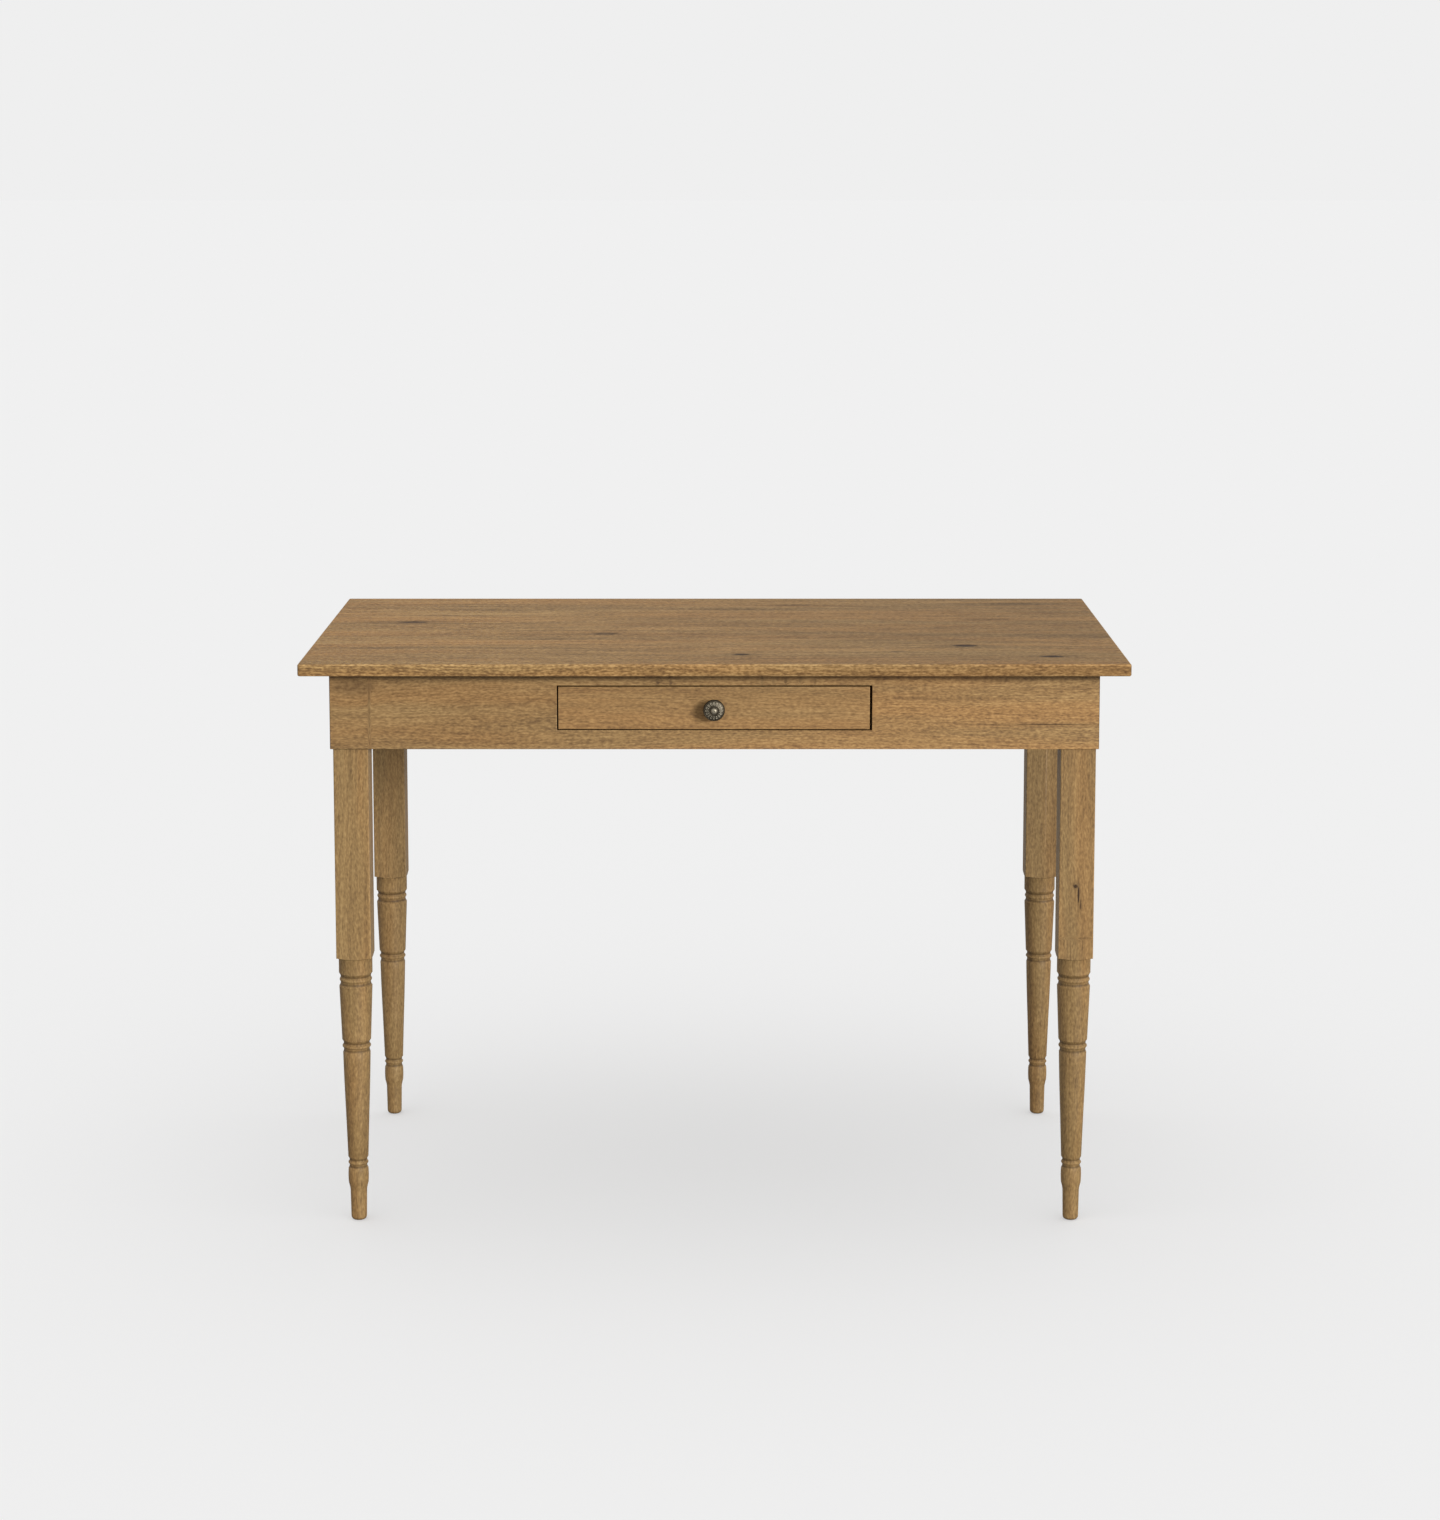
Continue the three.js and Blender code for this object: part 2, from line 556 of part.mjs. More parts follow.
// Drawer pieces are placed from the lower left corner of the drawer front's face.
const INSIDE_LEFT = DRAWER_SIDE_THICKNESS;
const INSIDE_RIGHT = DRAWER_WIDTH - DRAWER_SIDE_THICKNESS;
const GROOVE_TOP = GROOVE_HEIGHT + DRAWER_BOTTOM_THICKNESS + 2 * GAP;
const KNOB_HEIGHT = DRAWER_FRONT_HEIGHT / 2;
const KNOB_SCREW_RADIUS = 2;
const KNOB_SCREW_REACH = 10; // depth of the screw inside the knob
const TAIL_CENTRES = [DRAWER_SIDE_HEIGHT * 0.26, DRAWER_SIDE_HEIGHT * 0.74];

// One dovetail in the plane of the drawer side, as [y, z] points, grown to make its socket.
function dovetail(centre, grow = 0) {
  const tip = DRAWER_FRONT_THICKNESS - DOVETAIL_LENGTH - grow;
  const root = DRAWER_FRONT_THICKNESS + grow;
  const wide = DOVETAIL_WIDTH / 2 + grow;
  const narrow = wide - DOVETAIL_FLARE;
  return [[root, centre - narrow], [tip, centre - wide], [tip, centre + wide], [root, centre + narrow]];
}

// A side board, tailed at the front, grooved for the bottom and housed for the back. Its inner
// face is at insideX, and outward is -1 on the left and 1 on the right.
function makeDrawerSide(insideX, outward) {
  const start = DRAWER_FRONT_THICKNESS + GAP;
  const backEnd = DRAWER_LENGTH - DRAWER_BACK_INSET + 2 * GAP;
  const backStart = backEnd - DRAWER_SIDE_THICKNESS - 2 * GAP;
  const outline = [[start, DRAWER_SIDE_HEIGHT], [DRAWER_LENGTH, DRAWER_SIDE_HEIGHT],
    [DRAWER_LENGTH, 0], [start, 0]];
  for (const centre of TAIL_CENTRES) {
    for (const [y, z] of dovetail(centre)) outline.push([Math.min(y, start), z]);
  }
  const board = span(insideX, insideX + outward * DRAWER_SIDE_THICKNESS);
  const groove = span(insideX - outward, insideX + outward * GROOVE_DEPTH);
  const housing = span(insideX - outward, insideX + outward * HOUSING_DEPTH);
  return cut(prismAlongX(outline.reverse(), ...board), [
    box(...groove, -1, DRAWER_LENGTH + 1, GROOVE_HEIGHT, GROOVE_TOP),
    box(...housing, backStart, backEnd, GROOVE_HEIGHT, DRAWER_SIDE_HEIGHT + 1),
  ]);
}

function makeDrawerFront() {
  const board = box(0, DRAWER_WIDTH, 0, DRAWER_FRONT_THICKNESS, 0, DRAWER_FRONT_HEIGHT);
  const inner = DRAWER_FRONT_THICKNESS - GROOVE_DEPTH;
  const tools = [
    box(INSIDE_LEFT, INSIDE_RIGHT, inner, DRAWER_FRONT_THICKNESS + 1, GROOVE_HEIGHT, GROOVE_TOP),
    aim(rod(KNOB_SCREW_RADIUS + GAP, -DRAWER_FRONT_THICKNESS - 1, 1), 0, -1, 0)
      .translate(DRAWER_WIDTH / 2, 0, KNOB_HEIGHT),
  ];
  for (const centre of TAIL_CENTRES) {
    const socket = dovetail(centre, GAP).reverse();
    tools.push(prismAlongX(socket, -1, INSIDE_LEFT + GAP));
    tools.push(prismAlongX(socket, INSIDE_RIGHT - GAP, DRAWER_WIDTH + 1));
  }
  return cut(board, tools);
}

// The knob stands along +Z from its foot: a flared foot, a slim neck, and a broad round head.
function makeKnob() {
  const path = new THREE.Path();
  path.moveTo(0, GAP);
  path.lineTo(8.5, GAP);
  path.lineTo(8.5, 1.8);
  path.quadraticCurveTo(5, 3, 5, 7); // cove up to the neck
  path.quadraticCurveTo(5.5, 12, KNOB_RADIUS - 1, 14.5); // flare out under the head
  path.quadraticCurveTo(KNOB_RADIUS + 0.5, 17, KNOB_RADIUS - 0.8, 20); // rolled rim
  path.lineTo(KNOB_RADIUS - 2.5, 21.5);
  path.lineTo(6.4, 23.2); // sloping ring of petals
  path.lineTo(5.6, 22.6);
  path.quadraticCurveTo(4.4, KNOB_PROJECTION - 0.4, 0, KNOB_PROJECTION); // centre boss
  return cut(turned(path, 24, 3), [rod(KNOB_SCREW_RADIUS + GAP, -1, KNOB_SCREW_REACH + GAP)]);
}

// A pan-head machine screw along +Z, its head behind the drawer front.
function makeKnobScrew() {
  const headRadius = 4.2;
  const headHeight = 2.6;
  return turned(profile([
    [0, -headHeight - GAP], [headRadius - 1, -headHeight - GAP], [headRadius, -headHeight + 0.6],
    [headRadius, -GAP], [KNOB_SCREW_RADIUS, -GAP],
    [KNOB_SCREW_RADIUS, DRAWER_FRONT_THICKNESS + KNOB_SCREW_REACH],
    [0, DRAWER_FRONT_THICKNESS + KNOB_SCREW_REACH],
  ]), 12);
}

function makeDrawer() {
  const drawer = new THREE.Group();
  drawer.position.set(DRAWER_LEFT, -APRON_Y, DRAWER_BASE);
  const backEnd = DRAWER_LENGTH - DRAWER_BACK_INSET + GAP;
  const bottomZ = GROOVE_HEIGHT + GAP;
  const backZ = bottomZ + DRAWER_BOTTOM_THICKNESS + GAP;
  const letIn = HOUSING_DEPTH - GAP;
  const tongue = GROOVE_DEPTH - GAP;
  add(drawer, 'drawer_front', makeDrawerFront(), OAK);
  add(drawer, 'drawer_left_side', makeDrawerSide(INSIDE_LEFT, -1), OAK_PLAIN);
  add(drawer, 'drawer_right_side', makeDrawerSide(INSIDE_RIGHT, 1), OAK_PLAIN);
  add(drawer, 'drawer_back', box(INSIDE_LEFT - letIn, INSIDE_RIGHT + letIn,
    backEnd - DRAWER_SIDE_THICKNESS, backEnd, backZ, DRAWER_SIDE_HEIGHT), OAK_PLAIN);
  add(drawer, 'drawer_bottom', box(INSIDE_LEFT - tongue, INSIDE_RIGHT + tongue,
    DRAWER_FRONT_THICKNESS - tongue, DRAWER_LENGTH - 1, bottomZ, bottomZ + DRAWER_BOTTOM_THICKNESS), PLYWOOD);
  add(drawer, 'drawer_knob', aim(makeKnob(), 0, -1, 0), OLD_BRONZE, DRAWER_WIDTH / 2, 0, KNOB_HEIGHT);
  add(drawer, 'knob_screw', aim(makeKnobScrew(), 0, -1, 0), ZINC,
    DRAWER_WIDTH / 2, DRAWER_FRONT_THICKNESS, KNOB_HEIGHT);
  return drawer;
}

// ---------------------------------------------------------------- the desk

const desk = new THREE.Group();
add(desk, 'table_top', makeTop(), OAK_TOP);
for (const corner of CORNERS) desk.add(makeCorner(corner));
desk.add(makeAprons());
desk.add(makeRails());
desk.add(makeDrawer());

export default desk;
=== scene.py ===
# %% [markdown]
# # A writing desk with one drawer
# The desk is plain oak: a thin top, four legs that are square above and turned below, an apron
# box lapped round the legs, and a shallow drawer with a cast rosette knob. The measured desk is
# loaded first. It fixes where everything is, and each piece below is made finer in its place.

# %% Load the measured desk
import json
import math

import bmesh
import bpy
from mathutils import Matrix, Vector

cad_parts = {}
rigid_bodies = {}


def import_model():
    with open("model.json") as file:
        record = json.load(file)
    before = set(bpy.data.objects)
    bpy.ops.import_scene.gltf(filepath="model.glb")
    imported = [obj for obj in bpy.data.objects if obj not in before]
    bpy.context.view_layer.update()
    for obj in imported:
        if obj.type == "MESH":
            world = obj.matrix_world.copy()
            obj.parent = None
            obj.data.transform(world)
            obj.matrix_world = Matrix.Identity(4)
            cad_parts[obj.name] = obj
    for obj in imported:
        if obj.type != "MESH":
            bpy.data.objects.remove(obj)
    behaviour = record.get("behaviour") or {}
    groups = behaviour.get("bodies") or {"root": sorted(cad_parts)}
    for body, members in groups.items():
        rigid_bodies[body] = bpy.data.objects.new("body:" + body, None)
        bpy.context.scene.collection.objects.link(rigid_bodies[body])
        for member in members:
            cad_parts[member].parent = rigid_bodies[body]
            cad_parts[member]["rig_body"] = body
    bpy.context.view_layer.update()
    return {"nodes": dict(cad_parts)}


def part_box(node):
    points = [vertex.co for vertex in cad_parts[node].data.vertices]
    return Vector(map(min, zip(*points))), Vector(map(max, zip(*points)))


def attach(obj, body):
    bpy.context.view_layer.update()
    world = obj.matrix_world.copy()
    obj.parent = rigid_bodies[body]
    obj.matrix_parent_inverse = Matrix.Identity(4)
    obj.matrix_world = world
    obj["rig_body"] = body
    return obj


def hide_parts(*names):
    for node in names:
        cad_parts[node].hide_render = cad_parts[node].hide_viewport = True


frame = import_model()
MM = 0.001

# %% [markdown]
# ## Putting things in the scene
# Blender shows only objects that are linked to a collection of the scene. One helper makes and
# links every mesh, lamp and camera, and another takes away the patterns that were only copied
# from.


# %% Putting things in the scene
def placed(name, data):
    """A new object for a mesh, a lamp or a camera, put in the scene."""
    made = bpy.data.objects.new(name, data)
    bpy.context.scene.collection.objects.link(made)
    return made


def discard(*objects):
    for unwanted in objects:
        bpy.data.objects.remove(unwanted)


# %% [markdown]
# ## The camera
# The desk is seen from in front and a little above its top, through a long lens, which keeps its
# proportions true. The camera leans down by a few degrees. A small shift of the lens does the
# rest of the framing, because leaning further would draw the legs together towards the floor.

# %% Camera
LENS = 78.2  # focal length in millimetres
LENS_SHIFT_ACROSS = -0.003
LENS_SHIFT_UP = -0.14
EYE = Vector((0.0131, -4.516, 1.454))
LOOKING_DOWN = 0.1272  # radians

camera = placed("camera", bpy.data.cameras.new("camera"))
camera.data.lens = LENS
camera.data.shift_x = LENS_SHIFT_ACROSS
camera.data.shift_y = LENS_SHIFT_UP
camera.location = EYE
camera.rotation_euler = (math.pi / 2 - LOOKING_DOWN, 0, 0)
bpy.context.scene.camera = camera
bpy.context.scene.view_settings.view_transform = "Standard"
print(f"camera: {EYE.z:.2f} m up, leaning down {math.degrees(LOOKING_DOWN):.1f} degrees")

# %% [markdown]
# ## Floor and light
# A pale room with light from all round shows wood evenly. One broad lamp, low at the right and in
# front, draws the knob's shadow and part of the line under the top; painted shade on the aprons
# darkens that line further. It doesn't light the floor, as a flagged lamp in a studio doesn't, so
# only soft shade from the room lies under the desk.
#
# A floor this pale would throw so much light back up that the underside of the desk looked lit
# from below. So the floor gives off half of its own light, which keeps the shade on it faint, and
# bounced light doesn't see it. For the same reason the room is dim below the level of the floor.

# %% Floor
FLOOR_HALF = 60  # metres, so that its edge is lost in the room
FLOOR_GREY = 0.49
FLOOR_GLOW = 0.403

floor_mesh = bpy.data.meshes.new("floor")
floor_corners = [(x * FLOOR_HALF, y * FLOOR_HALF, 0) for x, y in ((-1, -1), (1, -1), (1, 1), (-1, 1))]
floor_mesh.from_pydata(floor_corners, [], [(0, 1, 2, 3)])
floor = placed("floor", floor_mesh)
floor_paint = bpy.data.materials.new("pale floor")
floor_paint.use_nodes = True
floor_shader = floor_paint.node_tree.nodes["Principled BSDF"]
floor_shader.inputs["Base Color"].default_value = (FLOOR_GREY, FLOOR_GREY, FLOOR_GREY, 1)
floor_shader.inputs["Roughness"].default_value = 1
floor_shader.inputs["Specular IOR Level"].default_value = 0
floor_shader.inputs["Emission Color"].default_value = (1, 1, 1, 1)
floor_shader.inputs["Emission Strength"].default_value = FLOOR_GLOW
floor_mesh.materials.append(floor_paint)
floor.visible_diffuse = False
floor.visible_glossy = False
print(f"floor: {2 * FLOOR_HALF} m square")

# %% Light
PALE = 0.863
DIM = 0.27
DIM_UNDER = -0.35  # how steeply a look into the room points: 0 is level, -1 is straight down
PALE_OVER = -0.03

room = bpy.data.worlds.new("pale room")
bpy.context.scene.world = room
room.use_nodes = True
sky = room.node_tree
height = sky.nodes.new("ShaderNodeSeparateXYZ")
sky.links.new(sky.nodes.new("ShaderNodeTexCoord").outputs["Generated"], height.inputs[0])
shade = sky.nodes.new("ShaderNodeMapRange")
shade.inputs["From Min"].default_value = DIM_UNDER
shade.inputs["From Max"].default_value = PALE_OVER
shade.inputs["To Min"].default_value = DIM
shade.inputs["To Max"].default_value = PALE
sky.links.new(height.outputs["Z"], shade.inputs["Value"])
sky.links.new(shade.outputs["Result"], sky.nodes["Background"].inputs["Color"])


def add_lamp(name, toward, strength, softness):
    """A broad lamp a long way off. toward is the way to it, and softness its width in degrees."""
    lamp = placed(name, bpy.data.lights.new(name, "SUN"))
    lamp.data.energy = strength
    lamp.data.angle = math.radians(softness)
    lamp.rotation_euler = Vector(toward).to_track_quat("Z", "Y").to_euler()
    return lamp


side_lamp = add_lamp("side lamp", toward=(0.72, -1, 0.27), strength=3.2, softness=18)
add_lamp("overhead lamp", toward=(0, -0.2, 1), strength=0.3, softness=70)

unlit = bpy.data.collections.new("not lit by the side lamp")
unlit.objects.link(floor)
unlit.collection_objects[0].light_linking.link_state = "EXCLUDE"
side_lamp.light_linking.receiver_collection = unlit
print("light: a pale room, a side lamp and a weak overhead lamp")

# %% [markdown]
# ## Tools for node trees
# Wood and metal are drawn by shader nodes, and turned and repeated pieces by geometry nodes. Both
# kinds of tree could be wired by hand in the node editor. Here the same few helpers wire them, so
# that each step of a pattern is one line of the script.


# %% Node helpers
def put(tree, kind, inputs=None, **settings):
    """A node with its settings, and with each input given a value or joined to a socket."""
    node = tree.nodes.new(kind)
    for key, value in settings.items():
        setattr(node, key, value)
    for key, value in (inputs or {}).items():
        if isinstance(value, bpy.types.NodeSocket):
            tree.links.new(value, node.inputs[key])
        else:
            node.inputs[key].default_value = value
    return node


def sums(tree, operation, *values, kind="ShaderNodeMath", **settings):
    """The result of a Math or Vector Math node on the values."""
    node = put(tree, kind, dict(enumerate(values)), operation=operation, **settings)
    return node.outputs[1 if operation == "LENGTH" else 0]


def vectors(tree, operation, *values):
    return sums(tree, operation, *values, kind="ShaderNodeVectorMath")


def group_tree(name, kind, inputs, outputs):
    """An empty node group with named inputs, given as (name, kind, value), and outputs."""
    tree = bpy.data.node_groups.new(name, kind)
    for label, kind_of_value, value in inputs:
        socket = tree.interface.new_socket(label, in_out="INPUT", socket_type="NodeSocket" + kind_of_value)
        if value is not None:
            socket.default_value = value
    for label, kind_of_value in outputs:
        tree.interface.new_socket(label, in_out="OUTPUT", socket_type="NodeSocket" + kind_of_value)
    return tree, tree.nodes.new("NodeGroupInput").outputs, tree.nodes.new("NodeGroupOutput").inputs


# %% [markdown]
# ## Oak
# Oak is drawn in three dimensions, so that a board's faces, edges and ends agree as they do in
# real timber. The pattern is made in grain space: first along the grain, then across it, then
# into the board. Everything is stretched along the grain: broad streaks, fine streaks, fibres,
# the short speckle of the rays, and the open pores.


# %% Oak figure
def stretched(tree, vector, scale, detail):
    """Noise from about 0 to 1, with its own scale along, across and into the board."""
    scaled = vectors(tree, "MULTIPLY", vector, scale)
    noise = put(tree, "ShaderNodeTexNoise", {"Vector": scaled, "Scale": 1.0, "Detail": detail})
    return noise.outputs["Fac"]


def ramp(tree, value, low, high, to_low=0.0, to_high=1.0):
    """A smooth step of value from low to high."""
    node = put(tree, "ShaderNodeMapRange", {"Value": value, "From Min": low, "From Max": high,
                                            "To Min": to_low, "To Max": to_high},
               interpolation_type="SMOOTHSTEP")
    return node.outputs["Result"]


FIGURE_LAYERS = [  # scale along, across and into the board, detail, weight
    ((0.9, 13, 13), 2.0, 0.4),  # broad streaks
    ((3.6, 95, 95), 3.0, 0.42),  # fine streaks
    ((20, 400, 400), 2.0, 0.45),  # fibres
    ((180, 480, 480), 1.0, 0.9),  # speckle
]
WANDER = 30 * MM  # the width of the band that a line of the grain strays over
RING_WIDTH = 4.2 * MM
RING_WEIGHT = 0.03
HEART = (0, 20 * MM, -110 * MM)  # the middle of the tree, under the board


def grain_noise(tree, vector, scale, detail):
    """Three noises at once, each from about -0.5 to 0.5."""
    noise = put(tree, "ShaderNodeTexNoise", {"Vector": vectors(tree, "MULTIPLY", vector, scale),
                                             "Scale": 1.0, "Detail": detail})
    return vectors(tree, "SUBTRACT", noise.outputs["Color"], (0.5, 0.5, 0.5))


def make_figure_group():
    tree, given, result = group_tree(
        "oak figure", "ShaderNodeTree", [("Grain", "Vector", None)],
        [("Tone", "Float"), ("Pores", "Float"), ("Hue", "Float"), ("Relief", "Float")])
    wander = vectors(tree, "MULTIPLY", grain_noise(tree, given["Grain"], (2.6, 9, 9), 1.0),
                     (0, WANDER, WANDER))
    bent = vectors(tree, "ADD", given["Grain"], wander)
    tone = None
    for scale, detail, weight in FIGURE_LAYERS:
        centred = sums(tree, "SUBTRACT", stretched(tree, bent, scale, detail), 0.5)
        layer = sums(tree, "MULTIPLY", centred, weight)
        tone = layer if tone is None else sums(tree, "ADD", tone, layer)
    # Growth rings round a heart that lies under the board, so they run wide on its face.
    from_heart = vectors(tree, "SUBTRACT", vectors(tree, "MULTIPLY", bent, (0.04, 1, 1)), HEART)
    turns = sums(tree, "MULTIPLY", vectors(tree, "LENGTH", from_heart), 2 * math.pi / RING_WIDTH)
    rings = sums(tree, "MULTIPLY", sums(tree, "SINE", turns), RING_WEIGHT)
    tone = sums(tree, "ADD", tone, rings)
    tree.links.new(sums(tree, "ADD", tone, 0.5), result["Tone"])
    pores = ramp(tree, stretched(tree, bent, (75, 1150, 1150), 1.0), 0.6, 0.72)
    tree.links.new(pores, result["Pores"])
    tree.links.new(stretched(tree, bent, (2.2, 26, 26), 2.0), result["Hue"])
    fibres = stretched(tree, bent, (60, 900, 900), 2.0)
    tree.links.new(sums(tree, "SUBTRACT", fibres, sums(tree, "MULTIPLY", pores, 0.8)), result["Relief"])
    return tree


FIGURE = make_figure_group()
print(f"oak figure: {len(FIGURE.nodes)} nodes")

# %% [markdown]
# ## Knots and marks
# A knot is a dark core with long dark tails, and the grain parts round it. One small group draws
# one mark and passes the grain on, bent, to the next, so a board takes as many as it has. The
# same group, made very thin, draws a crack, a saw mark or a joint line.

# %% Knot group
RAGGED = (0.9, 0.6, 0.6)  # how far a mark's edge strays, as a share of its half size
TAIL_REACH = (3.2, 1.6, 1.5)  # how far the tails run, in half sizes
PARTING_REACH = (2.2, 3.0, 3.0)  # how far off the grain begins to part, in half sizes
PARTING = 0.55
CORE_DARKNESS = 0.6
TAIL_DARKNESS = 0.4


def make_mark_group():
    tree, given, result = group_tree(
        "mark in the wood", "ShaderNodeTree",
        [("Grain", "Vector", None), ("Shade", "Float", 0.0), ("Place", "Vector", None),
         ("Half Size", "Vector", None), ("Strength", "Float", 0.5)],
        [("Grain", "Vector"), ("Shade", "Float")])

    def half_sizes(amount):
        return vectors(tree, "MULTIPLY", given["Half Size"], amount)

    def how_far(offset, reach):
        return vectors(tree, "LENGTH", vectors(tree, "DIVIDE", offset, reach))

    uneven = vectors(tree, "MULTIPLY", grain_noise(tree, given["Grain"], (90, 500, 500), 2.0), RAGGED)
    offset = vectors(tree, "SUBTRACT", given["Grain"], given["Place"])
    ragged_offset = vectors(tree, "ADD", offset, vectors(tree, "MULTIPLY", uneven, given["Half Size"]))
    core = ramp(tree, how_far(ragged_offset, given["Half Size"]), 1.15, 0.55)
    tails = ramp(tree, how_far(ragged_offset, half_sizes(TAIL_REACH)), 1.2, 0.0)
    dark = sums(tree, "ADD", sums(tree, "MULTIPLY", core, CORE_DARKNESS),
                sums(tree, "MULTIPLY", tails, TAIL_DARKNESS))
    tree.links.new(sums(tree, "MULTIPLY_ADD", dark, given["Strength"], given["Shade"]), result["Shade"])
    pinch = ramp(tree, how_far(offset, half_sizes(PARTING_REACH)), 1.0, 0.0, 0.0, -PARTING)
    pull = put(tree, "ShaderNodeCombineXYZ", {"Y": pinch})
    tree.links.new(vectors(tree, "MULTIPLY_ADD", offset, pull.outputs[0], given["Grain"]), result["Grain"])
    return tree


MARK = make_mark_group()
print(f"mark in the wood: {len(MARK.nodes)} nodes")

# %% [markdown]
# ## The oiled finish
# The finish is a thin satin one, so the wood keeps most of its own roughness. Colour runs from a
# brown shade to a straw light, with warmer and greener patches. Arrises wear paler and carry a
# painted highlight, and end grain drinks the oil and goes darker. Painted shade lies where the desk
# shades itself: under the top, round the drawer and in the grooves of the legs, and the feet are
# darker towards the floor.
#
# Wear, highlights and shade could be guessed from the shape by the shader, but only the pieces
# know which edges are rounded and which corners lie in shade. So each mesh carries two attributes,
# one for the arrises and one for the painted shade, and the finish only reads them.

# %% Oak materials
# Which way of the desk runs along, across and into each kind of board.
GRAIN_ORDER = {"X": "XYZ", "X upright": "XZY", "Y": "YXZ", "Y upright": "YZX", "Z": "ZXY"}

OAK_SHADE = (0.118, 0.064, 0.024)
OAK_MIDDLE = (0.213, 0.1225, 0.0435)
OAK_LIGHT = (0.312, 0.19, 0.0715)
GREENER = (0.98, 1.02, 1.12)
WARMER = (1.04, 0.985, 1.0)
IN_PORES = (0.55, 0.5, 0.45, 1)
ON_END_GRAIN = (0.72, 0.7, 0.68, 1)
# Arrises painted paler: wear, and a painted highlight.
ON_WORN_HIGHLIT_ARRIS = (1.22, 1.24, 1.3, 1)
# Painted shade: the tint where the mesh marks shade.
UNDER_PAINTED_SHADE = (0.2, 0.16, 0.12, 1)
IN_MARKS = (0.16, 0.14, 0.15, 1)
# The ends of the desk for the painted light and shade along it.
LEFT_END = -0.48
RIGHT_END = 0.48


def tinted(colour, factor):
    return tuple(channel * factor for channel in colour) + (1,)


def times(tree, colour, tint, amount=1.0):
    """The colour multiplied by a tint, by the amount from 0 to 1."""
    mix = put(tree, "ShaderNodeMix", {"Factor": amount, "A": colour, "B": tint},
              data_type="RGBA", blend_type="MULTIPLY")
    return mix.outputs["Result"]


def attribute(tree, name):
    return put(tree, "ShaderNodeAttribute", attribute_name=name).outputs["Fac"]


def plain_oak(tree, figure, value, warmth, spread):
    """The wood's own colour, from the figure's tone and its warmer and greener patches."""
    colours = put(tree, "ShaderNodeValToRGB", {"Fac": figure.outputs["Tone"]})
    dark, light = colours.color_ramp.elements
    dark.position, dark.color = 0.5 - spread, tinted(OAK_SHADE, value)
    light.position, light.color = 0.5 + spread, tinted(OAK_LIGHT, value)
    middle = colours.color_ramp.elements.new(0.5)
    middle.color = tinted(OAK_MIDDLE, value)
    greener = (GREENER[0] + warmth, *GREENER[1:], 1)
    warmer = (WARMER[0] + warmth, *WARMER[1:], 1)
    hue = put(tree, "ShaderNodeMix", {"Factor": ramp(tree, figure.outputs["Hue"], 0.35, 0.65),
                                      "A": greener, "B": warmer}, data_type="RGBA")
    return times(tree, colours.outputs["Color"], hue.outputs["Result"])


def add_relief(tree, shader, relief, roughness, sheen):
    """The wood's dull and glossy places and its open grain, from the figure's relief."""
    rough = sums(tree, "MULTIPLY_ADD", relief, -0.12, roughness + 0.06)
    tree.links.new(rough, shader.inputs["Roughness"])
    shader.inputs["Specular IOR Level"].default_value = sheen
    bump = put(tree, "ShaderNodeBump", {"Height": relief, "Strength": 0.35, "Distance": 0.4 * MM})
    tree.links.new(bump.outputs[0], shader.inputs["Normal"])


def oak_material(name, grain, value=1.0, warmth=0.0, start=(0, 0, 0), marks=(), roughness=0.56,
                 painted_light_ends=None, spread=0.3, sheen=0.2):
    """Oak with its grain along an axis. marks are (place, half size, strength) in grain space.

    The pair of end values scales the colour at the left end of the desk and at the right end, as
    painted light and shade along the desk. A wide spread gives an even board, and a narrow one a
    lively board.
    """
    material = bpy.data.materials.new(name)
    material.use_nodes = True
    tree = material.node_tree
    shader = tree.nodes["Principled BSDF"]
    place = put(tree, "ShaderNodeSeparateXYZ", {0: put(tree, "ShaderNodeTexCoord").outputs["Object"]})
    order = GRAIN_ORDER[grain]
    along = put(tree, "ShaderNodeCombineXYZ", {i: place.outputs[axis] for i, axis in enumerate(order)})
    vector = along.outputs[0]
    marked = 0.0
    for centre, half_size, strength in marks:
        mark = put(tree, "ShaderNodeGroup", {"Grain": vector, "Shade": marked, "Place": centre,
                                             "Half Size": half_size, "Strength": strength}, node_tree=MARK)
        vector = mark.outputs["Grain"]
        marked = mark.outputs["Shade"]
    moved = put(tree, "ShaderNodeMapping", {"Vector": vector, "Location": start})
    figure = put(tree, "ShaderNodeGroup", {"Grain": moved.outputs[0]}, node_tree=FIGURE)

    colour = plain_oak(tree, figure, value, warmth, spread)
    # Painted light and shade: the colour scaled from the left end of the desk to the right end.
    if painted_light_ends:
        colour = times(tree, colour, ramp(tree, place.outputs["X"], LEFT_END, RIGHT_END, *painted_light_ends))
    colour = times(tree, colour, IN_PORES, sums(tree, "MULTIPLY", figure.outputs["Pores"], 0.7))
    normal = put(tree, "ShaderNodeNewGeometry").outputs["Normal"]
    facing = put(tree, "ShaderNodeSeparateXYZ", {0: normal}).outputs[order[0]]
    colour = times(tree, colour, ON_END_GRAIN, ramp(tree, sums(tree, "ABSOLUTE", facing), 0.6, 0.95))
    # Arrises painted paler: wear, and a painted highlight along the rounded strips.
    colour = times(tree, colour, ON_WORN_HIGHLIT_ARRIS, attribute(tree, "arris"))
    # Painted shade under the top, round the drawer and in the leg grooves, and darker feet.
    colour = times(tree, colour, UNDER_PAINTED_SHADE, attribute(tree, "painted_shade"))
    if marks:
        colour = times(tree, colour, IN_MARKS, sums(tree, "MINIMUM", marked, 1.0))
    tree.links.new(colour, shader.inputs["Base Color"])
    add_relief(tree, shader, figure.outputs["Relief"], roughness, sheen)
    return material


